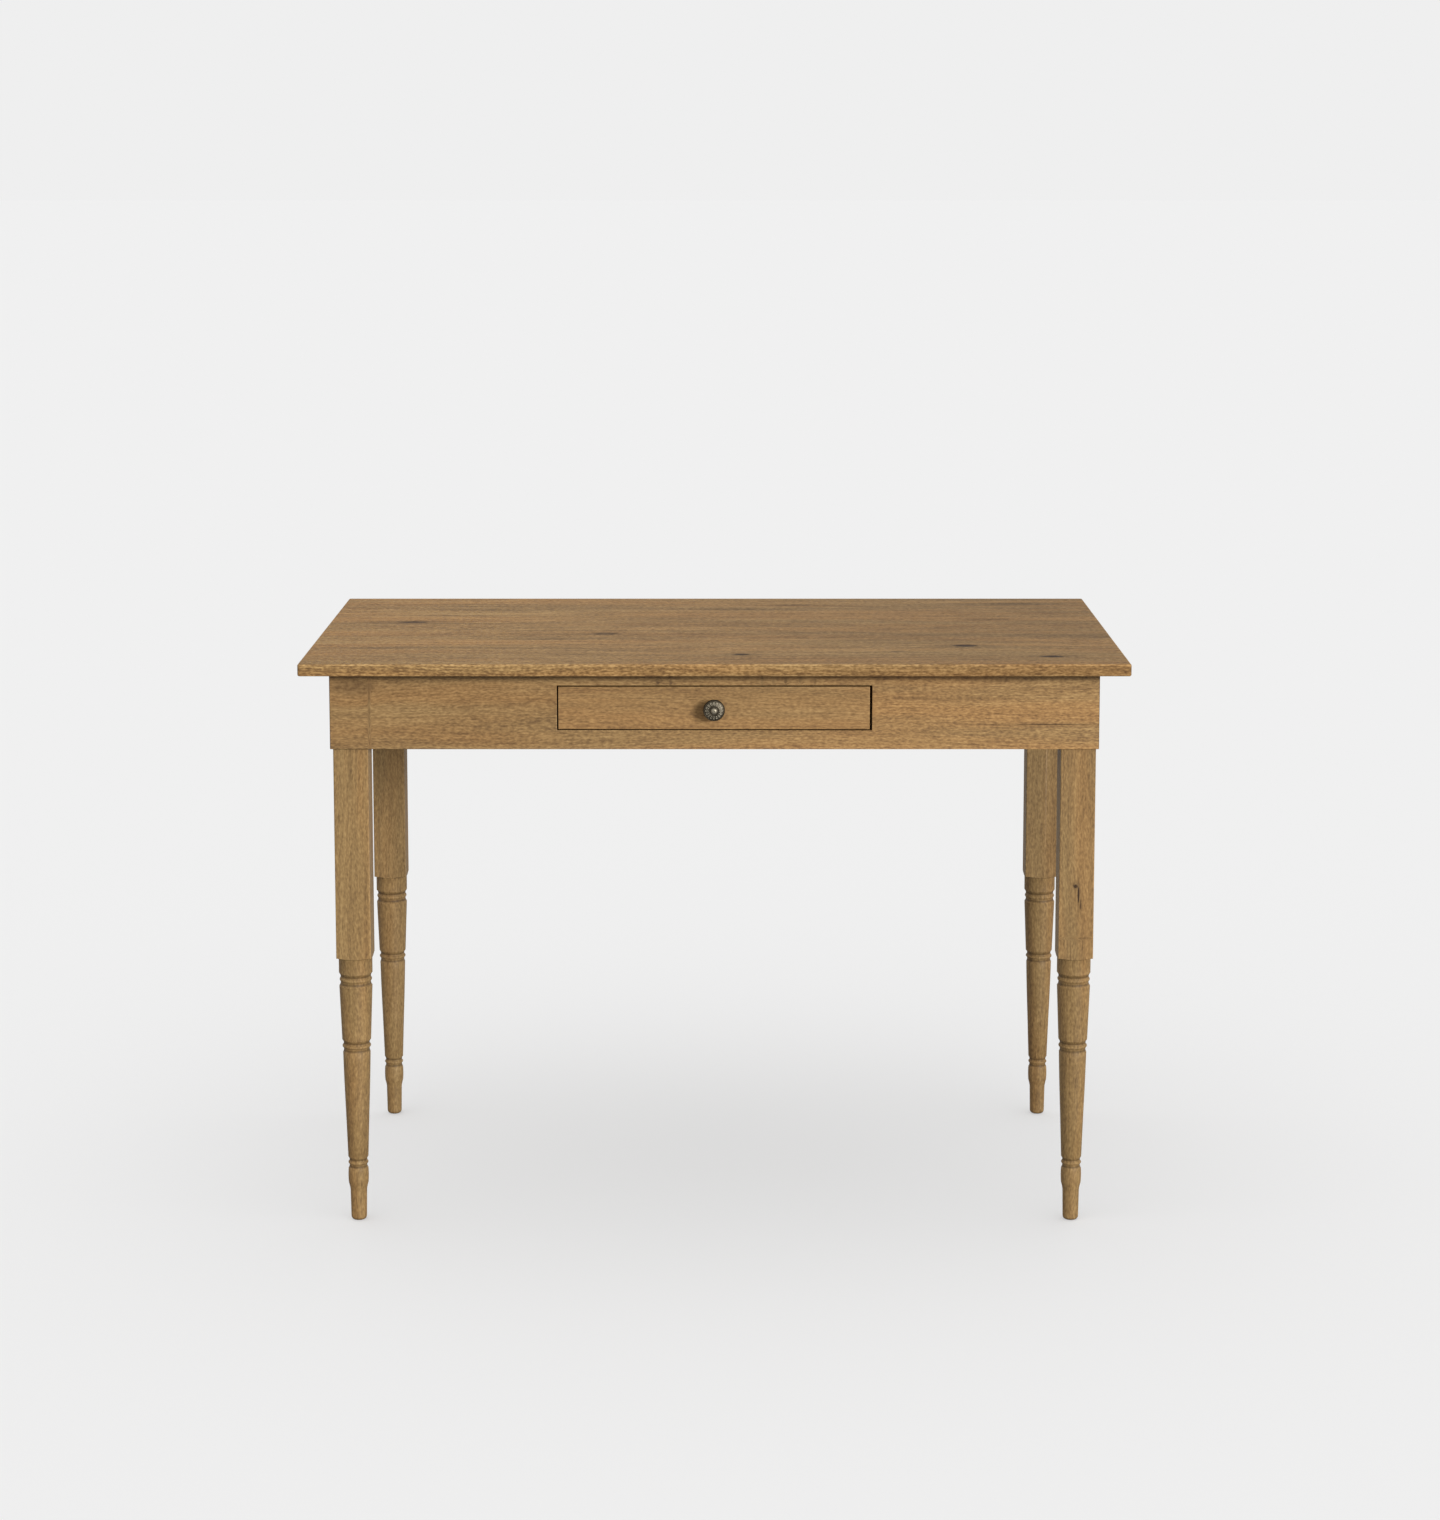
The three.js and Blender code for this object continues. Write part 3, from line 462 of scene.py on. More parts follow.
# %% [markdown]
# ## Where the marks are
# A random scatter of knots would make any oak desk, but not this one. So its marks are listed:
# small knots and dark streaks on the top; a dark patch just under the top at the left end, a joint
# line, a hairline crack and a row of short saw marks on the front apron; and a crack in the right
# front leg.

# %% Marks on this desk
INTO = 20 * MM  # how far a mark goes into the board


def marks_on(face, places):
    """Marks on the face at that depth, in grain space, from rows in millimetres.

    A row is the mark's place along and across the grain, its half length, half width and strength.
    """
    return [((along * MM, across * MM, face), (length * MM, width * MM, INTO), strength)
            for along, across, length, width, strength in places]


TOP_MARKS = marks_on(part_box("table_top")[1].z, [
    (-424, 66, 25, 10, 0.95), (-149, -41, 18, 13, 0.75), (35, -219, 11, 8, 1.25),
    (114, 231, 34, 8, 0.6), (335, -145, 17, 10, 1.3), (444, -235, 16, 9, 1.15),
    (242, -195, 9, 6, 0.5), (378, 90, 34, 12, 0.36), (435, 242, 48, 9, 0.5),
    (240, 0, 18, 8, 0.4), (310, 12, 18, 8, 0.4), (-70, 96, 60, 8, 0.34),
    (-240, -84, 44, 9, 0.28), (-40, 40, 60, 9, 0.24), (150, -70, 60, 10, 0.24),
    (-300, 180, 55, 10, 0.24), (20, 190, 66, 9, 0.26),
])
APRON_MARKS = marks_on(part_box("front_apron")[0].y, [
    (-474, 727, 30, 13, 0.4), (-451, 694, 1.3, 46, 0.3), (440, 677, 48, 1.1, 0.75),
    (380, 736, 60, 4, 0.25), (-300, 700, 60, 3, 0.18), (300, 712, 70, 3, 0.2),
    (62, 735, 2.4, 7, 0.4), (77, 734, 2.2, 6, 0.35), (93, 735, 2.4, 7, 0.4), (112, 736, 2.4, 7, 0.35),
    (131, 734, 2.2, 6, 0.3), (-74, 735, 2.4, 7, 0.35), (-57, 734, 2.2, 6, 0.3),
])
LEG_MARKS = marks_on(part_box("front_right_leg")[0].y, [
    (449, 479, 11, 1.5, 1.3), (460, 475, 3, 3.5, 1.0), (390, 488, 1.5, 16, 0.3),
    (436, 482, 8, 1.2, 0.8), (620, -478, 60, 4, 0.2),
])
print(f"{len(TOP_MARKS)} marks on the top, {len(APRON_MARKS)} on the apron, {len(LEG_MARKS)} on the legs")

# %% [markdown]
# ## A board for each place
# Boards from different trees differ in tone. Each place on the desk gets its own start in the
# figure, so that no two boards show the same grain. The show wood is oiled. The wood inside the
# desk was planed and left bare, so it is paler and duller.

# %% Oak for each place
# The top and the front apron carry painted light along the desk: the front apron is lighter towards the side
# lamp at the right, and the top is lighter at the left.
OAK_TOP = oak_material("oak, top", "X", value=1.11, marks=TOP_MARKS, roughness=0.62,
                       painted_light_ends=(1.16, 0.86), spread=0.22, sheen=0.08)
OAK_FRONT = oak_material("oak, front apron", "X upright", value=1.16, start=(0, 0.3, 0.1),
                         marks=APRON_MARKS, painted_light_ends=(0.86, 1.14))
OAK_BACK = oak_material("oak, rear apron", "X upright", value=0.95, start=(1.3, 0.7, 0.2))
OAK_SIDES = oak_material("oak, side aprons", "Y upright", value=0.95, start=(0.4, 1.7, 0.3))
OAK_LEGS = oak_material("oak, front legs", "Z", value=1.07, warmth=-0.03, start=(0.2, 0.4, 0),
                        marks=LEG_MARKS, spread=0.38)
# The rear legs are a darker copy of the front legs' oak: painted shade.
OAK_REAR_LEGS_SHADED = oak_material("oak, rear legs, painted darker", "Z", value=0.95, warmth=-0.03, start=(0.9, 0.1, 0.5),
                             spread=0.36)
OAK_DRAWER = oak_material("oak, drawer front", "X upright", value=1.15, start=(2.1, 1.1, 0.4),
                          spread=0.36)

BARE = 0.66
ROUGHLY_PLANED = 0.7
OAK_INSIDE = oak_material("oak, inner rails", "Y", value=1.25, warmth=-0.04, start=(3.1, 0.2, 0),
                          roughness=ROUGHLY_PLANED)
OAK_BLOCKS = oak_material("oak, corner blocks", "X", value=1.2, warmth=-0.04, start=(0.6, 2.2, 0),
                          roughness=ROUGHLY_PLANED)
OAK_BOX = oak_material("oak, drawer sides", "Y upright", value=1.3, warmth=-0.04,
                       start=(1.1, 0.9, 0), roughness=BARE)
OAK_BOX_BACK = oak_material("oak, drawer back", "X upright", value=1.3, warmth=-0.04,
                            start=(5, 0.9, 0), roughness=BARE)
PANEL = oak_material("drawer bottom panel", "Y", value=1.45, warmth=-0.06, start=(4.4, 0.9, 0),
                     roughness=BARE)

# %% [markdown]
# ## Boards with softened arrises
# A planed board never has knife edges: its arrises are rubbed down by hand before oiling. Each
# measured board is copied, its triangles are joined into whole faces, and its long edges are
# rounded. A Bevel modifier would round them too, but here the rounded strips have to be marked,
# so that the finish can make them paler there, as wear and as a painted highlight.

# %% Softened copies
WELD = 0.01 * MM  # points nearer to each other than this become one
SHARP = math.radians(40)
FLAT = math.radians(1)


def merged_copy(node):
    """The measured board as a bmesh, its loose triangles joined into whole flat faces."""
    bm = bmesh.new()
    bm.from_mesh(frame["nodes"][node].data)
    bmesh.ops.remove_doubles(bm, verts=bm.verts, dist=WELD)
    bmesh.ops.dissolve_limit(bm, angle_limit=FLAT, verts=bm.verts, edges=bm.edges)
    return bm


def soften(bm, radius, longer_than, segments=3):
    """Rounds the long arrises and marks them with the attribute arris."""
    arris_layer = bm.verts.layers.float.new("arris")
    arrises = [edge for edge in bm.edges if edge.is_manifold and edge.calc_length() > longer_than
               and edge.calc_face_angle() > SHARP]
    rounded = bmesh.ops.bevel(bm, geom=arrises, offset=radius, offset_type="OFFSET", segments=segments,
                              profile=0.5, affect="EDGES", clamp_overlap=False)
    strip = set(rounded["faces"])
    for face in strip:
        face.smooth = True
    for vert in rounded["verts"]:
        vert[arris_layer] = float(all(face in strip for face in vert.link_faces))
    return bm


def mesh_object(name, bm):
    """Puts what a bmesh holds in the scene as a new object, and frees the bmesh."""
    mesh = bpy.data.meshes.new(name)
    bm.to_mesh(mesh)
    bm.free()
    return placed(name, mesh)


def finished(name, bm, material, nodes):
    """Makes the bmesh a piece that stands for the measured nodes and moves with their body."""
    return adopt(mesh_object(name, bm), material, nodes)


def adopt(piece, material, nodes):
    piece.data.materials.clear()
    piece.data.materials.append(material)
    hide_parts(*nodes)
    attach(piece, frame["nodes"][nodes[0]]["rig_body"])
    print(f"{piece.name}: {len(piece.data.polygons)} faces")
    return piece


# %% List of boards
BOARDS = [  # node, name, material, slot, arris radius
    ("front_apron", "front_apron_board", OAK_FRONT, "oak", 0.8),
    ("rear_apron", "rear_apron_board", OAK_BACK, "oak", 0.8),
    ("left_apron", "left_apron_board", OAK_SIDES, "oak", 0.8),
    ("right_apron", "right_apron_board", OAK_SIDES, "oak", 0.8),
    ("drawer_front", "drawer_front_board", OAK_DRAWER, "oak", 0.7),
    ("drawer_left_side", "drawer_left_board", OAK_BOX, "oak_inner", 0.8),
    ("drawer_right_side", "drawer_right_board", OAK_BOX, "oak_inner", 0.8),
    ("drawer_back", "drawer_back_board", OAK_BOX_BACK, "oak_inner", 0.8),
    ("drawer_bottom", "drawer_bottom_panel", PANEL, "drawer_panel", 0.3),
]
for side in ("left", "right"):
    BOARDS += [(f"{side}_{part}", f"{side}_{part}_rail", OAK_INSIDE, "oak_inner", 0.8)
               for part in ("runner", "kicker", "guide")]
    BOARDS.append((f"{side}_drawer_stop", f"{side}_stop_block", OAK_INSIDE, "oak_inner", 0.6))
CORNERS = [f"{end}_{side}" for end in ("front", "rear") for side in ("left", "right")]
for corner in CORNERS:
    BOARDS.append((f"{corner}_corner_block", f"{corner}_brace", OAK_BLOCKS, "oak_inner", 1.0))
print(f"{len(BOARDS)} boards to soften")

# %% [markdown]
# ## Painted shade in the corners
# A dark line of painted shade lies on the aprons in the corner under the top, and the gap round
# the drawer is painted dark as shade. Both are marked on the mesh. An attribute fades only from
# one point of the mesh to the next, so the aprons are first cut where the painted shade starts and
# where it is full. Round the drawer the arris itself is left unpainted.

# %% Painted shade
# Painted shade on the aprons under the top, and round the drawer.
PAINTED_SHADE_HEIGHT = 11 * MM
PAINTED_SHADE_FADE = 4 * MM
APRON_PAINTED_SHADE = 0.6
# Painted shade in the gap round the drawer.
GAP_PAINTED_SHADE = 0.85
GAP_REACH = 4 * MM
BEHIND_ARRIS = 0.9 * MM


def paint_shade_under_top(bm, height):
    """Paints shade on a board above a height: the painted shade under the top."""
    fully = height + PAINTED_SHADE_FADE
    for level in (height, fully):
        bmesh.ops.bisect_plane(bm, geom=bm.verts[:] + bm.edges[:] + bm.faces[:], dist=0.001 * MM,
                               plane_co=(0, 0, level), plane_no=(0, 0, 1))
    painted_shade = bm.verts.layers.float.new("painted_shade")
    for vert in bm.verts:
        vert[painted_shade] = APRON_PAINTED_SHADE * min(max((vert.co.z - height) / PAINTED_SHADE_FADE, 0), 1)


def darken_gap(bm, face):
    """Paints shade on the edges that face each other round the drawer front, behind the arris."""
    painted_shade = bm.verts.layers.float["painted_shade"]
    low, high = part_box("drawer_front")
    for vert in bm.verts:
        x, y, z = vert.co
        off_edge = max(low.x - x, x - high.x, low.z - z, z - high.z)
        if abs(off_edge) < GAP_REACH and y > face + BEHIND_ARRIS:
            vert[painted_shade] = GAP_PAINTED_SHADE


# %% Making the boards
LONG_EDGE = 45 * MM
LONG_EDGE_OF_STOP = 14 * MM

for node, name, material, slot, radius in BOARDS:
    board = soften(merged_copy(node), radius * MM, LONG_EDGE_OF_STOP if "stop" in node else LONG_EDGE)
    # Painted shade under the top on every apron, and round the drawer on the front apron and drawer front.
    if "apron" in node:
        paint_shade_under_top(board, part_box(node)[1].z - PAINTED_SHADE_HEIGHT)
    if node == "drawer_front":
        board.verts.layers.float.new("painted_shade")
    if node in ("front_apron", "drawer_front"):
        darken_gap(board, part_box(node)[0].y)
    finished(name, board, material, [node])

# %% [markdown]
# ## The top
# The top is one flat slab with its corners just eased in plan and its upper and lower arrises
# rounded by a couple of millimetres. A cube pulled to size and rounded twice gives it: first the
# four upright corners, then every long edge.

# %% Top
TOP_CORNER = 3.5 * MM
TOP_ARRIS = 2.2 * MM


def make_top():
    low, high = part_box("table_top")
    bm = bmesh.new()
    bmesh.ops.create_cube(bm, size=1)
    bmesh.ops.scale(bm, vec=high - low, verts=bm.verts)
    bmesh.ops.translate(bm, vec=(low + high) / 2, verts=bm.verts)
    upright = [edge for edge in bm.edges if abs((edge.verts[0].co - edge.verts[1].co).z) > MM]
    bmesh.ops.bevel(bm, geom=upright, offset=TOP_CORNER, offset_type="OFFSET", segments=4, profile=0.5,
                    affect="EDGES")
    arris_layer = bm.verts.layers.float.new("arris")
    around = [edge for edge in bm.edges
              if abs(edge.link_faces[0].normal.z - edge.link_faces[1].normal.z) > 0.5]
    rounded = bmesh.ops.bevel(bm, geom=around, offset=TOP_ARRIS, offset_type="OFFSET", segments=4,
                              profile=0.5, affect="EDGES")
    strip = set(rounded["faces"])
    for face in bm.faces:
        face.smooth = face in strip or abs(face.normal.z) < 0.5
    for vert in rounded["verts"]:
        vert[arris_layer] = float(all(face in strip for face in vert.link_faces))
    return bm


finished("oak_top_slab", make_top(), OAK_TOP, ["table_top"])

# %% [markdown]
# ## A lathe made of nodes
# Legs, knob, screws, bolts and washers are all turned. One tree turns any outline: it rolls a
# flat grid into a tube, and each row of the grid takes its radius and height from one point of
# the outline. Where the outline is wider than the square blank, the ring stops at the blank's
# flat faces, which is just what a turner leaves when part of a leg stays square.


# %% Outline helper
class Outline:
    """A chain of (radius, height) points in millimetres, from the foot up."""

    def __init__(self, radius, height):
        self.points = [(radius, height)]

    def line(self, *points):
        self.points += points
        return self

    def bend(self, through, end, steps=8):
        """A curve that leaves towards one point and arrives at another."""
        start = self.points[-1]
        for step in range(1, steps + 1):
            t = step / steps
            self.points.append(tuple(a * (1 - t) ** 2 + 2 * b * t * (1 - t) + c * t * t
                                     for a, b, c in zip(start, through, end)))
        return self

    def as_object(self, name):
        mesh = bpy.data.meshes.new(name)
        chain = [(i, i + 1) for i in range(len(self.points) - 1)]
        mesh.from_pydata([(r * MM, 0, z * MM) for r, z in self.points], chain, [])
        return placed(name, mesh)


# %% Lathe tree
def close_tree(tree, geometry, given, result):
    """Makes copies real, coats them in the tree's material and hands them out."""
    real = put(tree, "GeometryNodeRealizeInstances", {"Geometry": geometry})
    coated = put(tree, "GeometryNodeSetMaterial", {"Geometry": real.outputs[0],
                                                   "Material": given["Material"]})
    tree.links.new(coated.outputs[0], result["Geometry"])
    return tree


def make_lathe_tree():
    tree, given, result = group_tree(
        "lathe", "GeometryNodeTree",
        [("Geometry", "Geometry", None), ("Outline", "Object", None), ("Sides", "Int", 32),
         ("Square Half Width", "Float", 1.0), ("Material", "Material", None)],
        [("Geometry", "Geometry")])
    outline = put(tree, "GeometryNodeObjectInfo", {"Object": given["Outline"]}).outputs["Geometry"]
    count = put(tree, "GeometryNodeAttributeDomainSize", {0: outline}).outputs["Point Count"]
    columns = sums(tree, "ADD", given["Sides"], 1)
    grid = put(tree, "GeometryNodeMeshGrid", {"Size X": 1.0, "Size Y": 1.0, "Vertices X": columns,
                                              "Vertices Y": count})
    place = put(tree, "ShaderNodeSeparateXYZ", {0: put(tree, "GeometryNodeInputPosition").outputs[0]})
    turn = sums(tree, "MULTIPLY", sums(tree, "ADD", place.outputs["X"], 0.5), 2 * math.pi)
    row = sums(tree, "ROUND", sums(tree, "MULTIPLY", sums(tree, "ADD", place.outputs["Y"], 0.5),
                                   sums(tree, "SUBTRACT", count, 1)))
    sample = put(tree, "GeometryNodeSampleIndex", data_type="FLOAT_VECTOR")
    tree.links.new(outline, sample.inputs["Geometry"])
    tree.links.new(put(tree, "GeometryNodeInputPosition").outputs[0], sample.inputs["Value"])
    tree.links.new(row, sample.inputs["Index"])
    point = put(tree, "ShaderNodeSeparateXYZ", {0: sample.outputs[0]})
    cosine, sine = sums(tree, "COSINE", turn), sums(tree, "SINE", turn)
    widest = sums(tree, "MAXIMUM", sums(tree, "ABSOLUTE", cosine), sums(tree, "ABSOLUTE", sine))
    radius = sums(tree, "MINIMUM", point.outputs["X"],
                  sums(tree, "DIVIDE", given["Square Half Width"], widest))
    turned = put(tree, "ShaderNodeCombineXYZ", {"X": sums(tree, "MULTIPLY", radius, cosine),
                                                "Y": sums(tree, "MULTIPLY", radius, sine),
                                                "Z": point.outputs["Z"]})
    rolled = put(tree, "GeometryNodeSetPosition", {"Geometry": grid.outputs["Mesh"],
                                                   "Position": turned.outputs[0]})
    closed = put(tree, "GeometryNodeMergeByDistance", {"Geometry": rolled.outputs[0],
                                                       "Distance": 0.001 * MM})
    return close_tree(tree, closed.outputs[0], given, result)


LATHE = make_lathe_tree()
print(f"lathe: {len(LATHE.nodes)} nodes")


# %% Running a tree
def run_tree(name, tree, values):
    """A new object whose mesh is what the tree makes from the values, with no modifier left on it."""
    made = placed(name, bpy.data.meshes.new(name))
    modifier = made.modifiers.new(tree.name, "NODES")
    modifier.node_group = tree
    for item in tree.interface.items_tree:
        if item.in_out == "INPUT" and item.name in values:
            modifier[item.identifier] = values[item.name]
    graph = bpy.context.evaluated_depsgraph_get()
    mesh = bpy.data.meshes.new_from_object(made.evaluated_get(graph))
    made.modifiers.clear()
    made.data = mesh
    mesh.name = name
    return made


NO_BLANK = 1.0  # half the width of a blank so wide that nothing stays square
CRISP = math.radians(34)


def turned_piece(name, outline, sides, material, square_half=NO_BLANK):
    """Turns an outline on the lathe tree, with its faces pointing out and its corners crisp."""
    pattern = outline.as_object(name + "_outline")
    made = run_tree(name, LATHE, {"Outline": pattern, "Sides": sides, "Material": material,
                                  "Square Half Width": square_half})
    discard(pattern)
    bm = bmesh.new()
    bm.from_mesh(made.data)
    bmesh.ops.recalc_face_normals(bm, faces=bm.faces)
    for face in bm.faces:
        face.smooth = True
    bm.to_mesh(made.data)
    bm.free()
    made.data.set_sharp_from_angle(angle=CRISP)
    return made


# %% [markdown]
# ## The legs
# Each leg is one square blank. Its top is notched so that the aprons lap over it, the middle
# stays square, and below the shoulder it is turned: a neck, a short taper, a long taper, an
# ankle and a slim foot, parted by three sets of rings. The outline is written once and the tree
# turns it four times. The bolt hole, the two notches for the aprons and the planed inner corner
# are cut with Boolean modifiers afterwards, because a lathe can't make them.

# %% Leg outline
SHOULDER = 361  # millimetres above the floor, as all heights of the outline
NECK_CUT = 1.5  # how far below the shoulder the turner's cut begins to open out
PAST_CORNERS = 1.45  # outline radius of the square part, in half widths, so its corners stay whole
BEAD_SHARES = (0.36, 0.64)  # where the bead begins and ends in its set of rings
RING_SETS = {  # bottom, top, radius of the bead, depth of the grooves
    "lower": (71, 87, 13.3, 1.4),
    "middle": (230.5, 248, 18.9, 1.6),
    "upper": (321, 339, 21.4, 1.3),
}


def turn_rings(outline, which, radius_above):
    """A groove, a bead and a groove, up to the radius above them."""
    bottom, top, bead, groove = RING_SETS[which]
    bead_low, bead_high = (bottom + (top - bottom) * share for share in BEAD_SHARES)
    waist = bead - groove
    deepest = waist - groove / 2
    outline.bend((deepest, (bottom + bead_low) / 2), (waist, bead_low))
    outline.bend((bead + groove, (bead_low + bead_high) / 2), (waist, bead_high))
    return outline.bend((deepest, (bead_high + top) / 2), (radius_above, top))


def leg_outline(half, height):
    """The leg from its foot up, in millimetres. half is half the width of its blank."""
    outline = Outline(0, 0).line((4.9, 0)).bend((10.4, 0), (10.4, 5.5))  # rounded foot
    outline.line((11, 41)).bend((11.4, 45), (13.1, 51)).bend((14, 61), (13.2, 71))  # ankle
    turn_rings(outline, "lower", 13.4).line((15.6, 150)).bend((17.3, 190), (18.2, 230.5))  # long taper
    turn_rings(outline, "middle", 19.1).bend((20.5, 284.5), (21.9, 321))  # short taper
    turn_rings(outline, "upper", 22.2).line((22.2, SHOULDER - NECK_CUT))  # neck
    square = half * PAST_CORNERS
    outline.bend((22.4, SHOULDER - 0.4), (square, SHOULDER + 1.6), 24)
    return outline.line((square, height), (0, height))


# %% Cutting the joints
SLIVER = 0.02 * MM


def add_prism(bm, outline, low, high):
    """A closed prism over an outline of (x, y) points, in metres."""
    rings = [[bm.verts.new((x, y, z)) for x, y in outline] for z in (low, high)]
    for ring in rings:
        bm.faces.new(ring)
    for i in range(len(outline)):
        bm.faces.new((rings[0][i - 1], rings[0][i], rings[1][i], rings[1][i - 1]))


def carve(piece, cutters):
    """Cuts each closed shape away from the piece and leaves a plain mesh."""
    tools = []
    for bm in cutters:
        bmesh.ops.recalc_face_normals(bm, faces=bm.faces)
        tool = mesh_object("cutter", bm)
        modifier = piece.modifiers.new("cut", "BOOLEAN")
        modifier.operation = "DIFFERENCE"
        modifier.object = tool
        modifier.solver = "EXACT"
        tools.append(tool)
    graph = bpy.context.evaluated_depsgraph_get()
    mesh = bpy.data.meshes.new_from_object(piece.evaluated_get(graph))
    piece.modifiers.clear()
    bm = bmesh.new()
    bm.from_mesh(mesh)
    bmesh.ops.remove_doubles(bm, verts=bm.verts, dist=WELD)
    bmesh.ops.dissolve_degenerate(bm, dist=SLIVER, edges=bm.edges)
    bm.to_mesh(mesh)
    bm.free()
    piece.data = mesh
    discard(*tools)
    return piece


def diagonal(corner):
    """The level way from a leg's axis in towards the middle of the desk, at 45 degrees."""
    end, side = corner.split("_")
    return Vector((1 if side == "left" else -1, 1 if end == "front" else -1, 0)).normalized()


def along_diagonal(node, corner):
    """Where a measured piece starts along its corner's diagonal, its length, and the way it runs."""
    way = diagonal(corner)
    points = [vert.co for vert in frame["nodes"][node].data.vertices]
    low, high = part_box(node)
    centre = (low + high) / 2
    reach = [(p - centre).dot(way) for p in points]
    return centre + way * min(reach), max(reach) - min(reach), way


def circle(radius, sides=24):
    turns = [2 * math.pi * i / sides for i in range(sides)]
    return [(radius * math.cos(turn), radius * math.sin(turn)) for turn in turns]


# %% Leg cutters
GAP = 0.3 * MM  # what touching pieces leave between them
CHAMFER = 12 * MM
BEYOND = 5 * MM  # how far a cutter stands out of what it cuts
NOTCH_REACH = 40 * MM
HOLE_RADIUS = 4.3 * MM


def bolt_hole(corner):
    """A rod along the corner's bolt, a little thicker than the bolt."""
    start, length, way = along_diagonal(f"{corner}_leg_bolt", corner)
    bm = bmesh.new()
    add_prism(bm, circle(HOLE_RADIUS), -GAP, length)
    bm.transform(Matrix.Translation(start) @ way.to_track_quat("Z", "Y").to_matrix().to_4x4())
    return bm


def leg_cutters(corner, low, high):
    """What is cut from the leg at a corner: the bolt hole, two apron notches and the inner corner."""
    end, side = corner.split("_")
    inner_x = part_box(f"{side}_apron")[1 if side == "left" else 0].x
    inner_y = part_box(f"{end}_apron")[1 if end == "front" else 0].y
    way_x = 1 if side == "left" else -1
    way_y = 1 if end == "front" else -1
    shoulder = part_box("front_apron")[0].z - GAP
    top = high.z + BEYOND
    post_x = high.x - inner_x if way_x > 0 else inner_x - low.x
    post_y = high.y - inner_y if way_y > 0 else inner_y - low.y

    def at(x, y):
        """A point given from the aprons' inner faces, in towards the middle of the desk."""
        return inner_x + way_x * x, inner_y + way_y * y

    reach = NOTCH_REACH
    shapes = [
        [at(-reach, -reach), at(GAP, -reach), at(GAP, reach), at(-reach, reach)],
        [at(-reach, -reach), at(-reach, GAP), at(reach, GAP), at(reach, -reach)],
        [at(post_x - CHAMFER - BEYOND, post_y + BEYOND), at(post_x + BEYOND, post_y - CHAMFER - BEYOND),
         at(post_x + BEYOND, post_y + BEYOND)],
    ]
    cutters = [bolt_hole(corner)]
    for shape in shapes:
        bm = bmesh.new()
        add_prism(bm, shape, shoulder, top)
        cutters.append(bm)
    return cutters


# %% Legs
LEG_SIDES = 96
LEG_ARRIS = 1.3 * MM
LEG_LONG_EDGE = 20 * MM
LEG_SLIVER = 0.05 * MM
GROOVE_SHARES = (0.2, 0.8)  # where the two grooves lie in their rings
# Painted shade in the grooves of the rings, and darker towards the floor at the foot.
GROOVE_PAINTED_SHADE = 0.7
GROOVE_REACH = 2.4
FOOT_DARKENING = 0.55
FOOT_REACH = 4.5


def leg_painted_shade(height):
    """How dark the leg is painted at a height: painted shade in the grooves, and darker towards the floor.
    """
    nearest = min(abs(height - bottom - (top - bottom) * share)
                  for bottom, top, _, _ in RING_SETS.values() for share in GROOVE_SHARES)
    in_groove = GROOVE_PAINTED_SHADE * max(1 - nearest / GROOVE_REACH, 0)
    return max(in_groove, FOOT_DARKENING * max(1 - height / FOOT_REACH, 0))


for corner in CORNERS:
    low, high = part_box(f"{corner}_leg")
    half = (high.x - low.x) / 2 / MM
    oak = OAK_LEGS if "front" in corner else OAK_REAR_LEGS_SHADED
    leg = turned_piece(f"{corner}_turned_leg", leg_outline(half, high.z / MM), LEG_SIDES, oak, half * MM)
    leg.data.transform(Matrix.Translation(((low.x + high.x) / 2, (low.y + high.y) / 2, 0)))
    carve(leg, leg_cutters(corner, low, high))
    bm = bmesh.new()
    bm.from_mesh(leg.data)
    bmesh.ops.remove_doubles(bm, verts=bm.verts, dist=WELD)
    soften(bm, LEG_ARRIS, LEG_LONG_EDGE)
    bmesh.ops.dissolve_degenerate(bm, dist=LEG_SLIVER, edges=bm.edges)
    # Painted shade in the grooves, and darker towards the floor.
    painted_shade = bm.verts.layers.float.new("painted_shade")
    for vert in bm.verts:
        vert[painted_shade] = leg_painted_shade(vert.co.z / MM)
    bm.to_mesh(leg.data)
    bm.free()
    adopt(leg, oak, [f"{corner}_leg"])

# %% [markdown]
# ## Metal finishes
# The knob is cast and then blackened, and hands have rubbed its high places bright again. The
# screws and bolts are plain zinc plate, a little cloudy.


# %% Metals
def metal_material(name, colour, worn_colour, roughness, cloud_scale):
    material = bpy.data.materials.new(name)
    material.use_nodes = True
    tree = material.node_tree
    shader = tree.nodes["Principled BSDF"]
    place = put(tree, "ShaderNodeTexCoord").outputs["Object"]
    cloud = put(tree, "ShaderNodeTexNoise", {"Vector": place, "Scale": cloud_scale, "Detail": 4.0})
    rubbed = sums(tree, "MULTIPLY_ADD", ramp(tree, cloud.outputs["Fac"], 0.35, 0.65), 0.2,
                  sums(tree, "MULTIPLY", attribute(tree, "arris"), 0.8), use_clamp=True)
    mix = put(tree, "ShaderNodeMix", {"Factor": rubbed, "A": colour, "B": worn_colour},
              data_type="RGBA")
    tree.links.new(mix.outputs["Result"], shader.inputs["Base Color"])
    rough = sums(tree, "MULTIPLY_ADD", cloud.outputs["Fac"], 0.3, roughness - 0.15)
    tree.links.new(rough, shader.inputs["Roughness"])
    shader.inputs["Metallic"].default_value = 0.9
    bump = put(tree, "ShaderNodeBump", {"Height": cloud.outputs["Fac"], "Strength": 0.3,
                                        "Distance": 0.2 * MM})
    tree.links.new(bump.outputs[0], shader.inputs["Normal"])
    return material


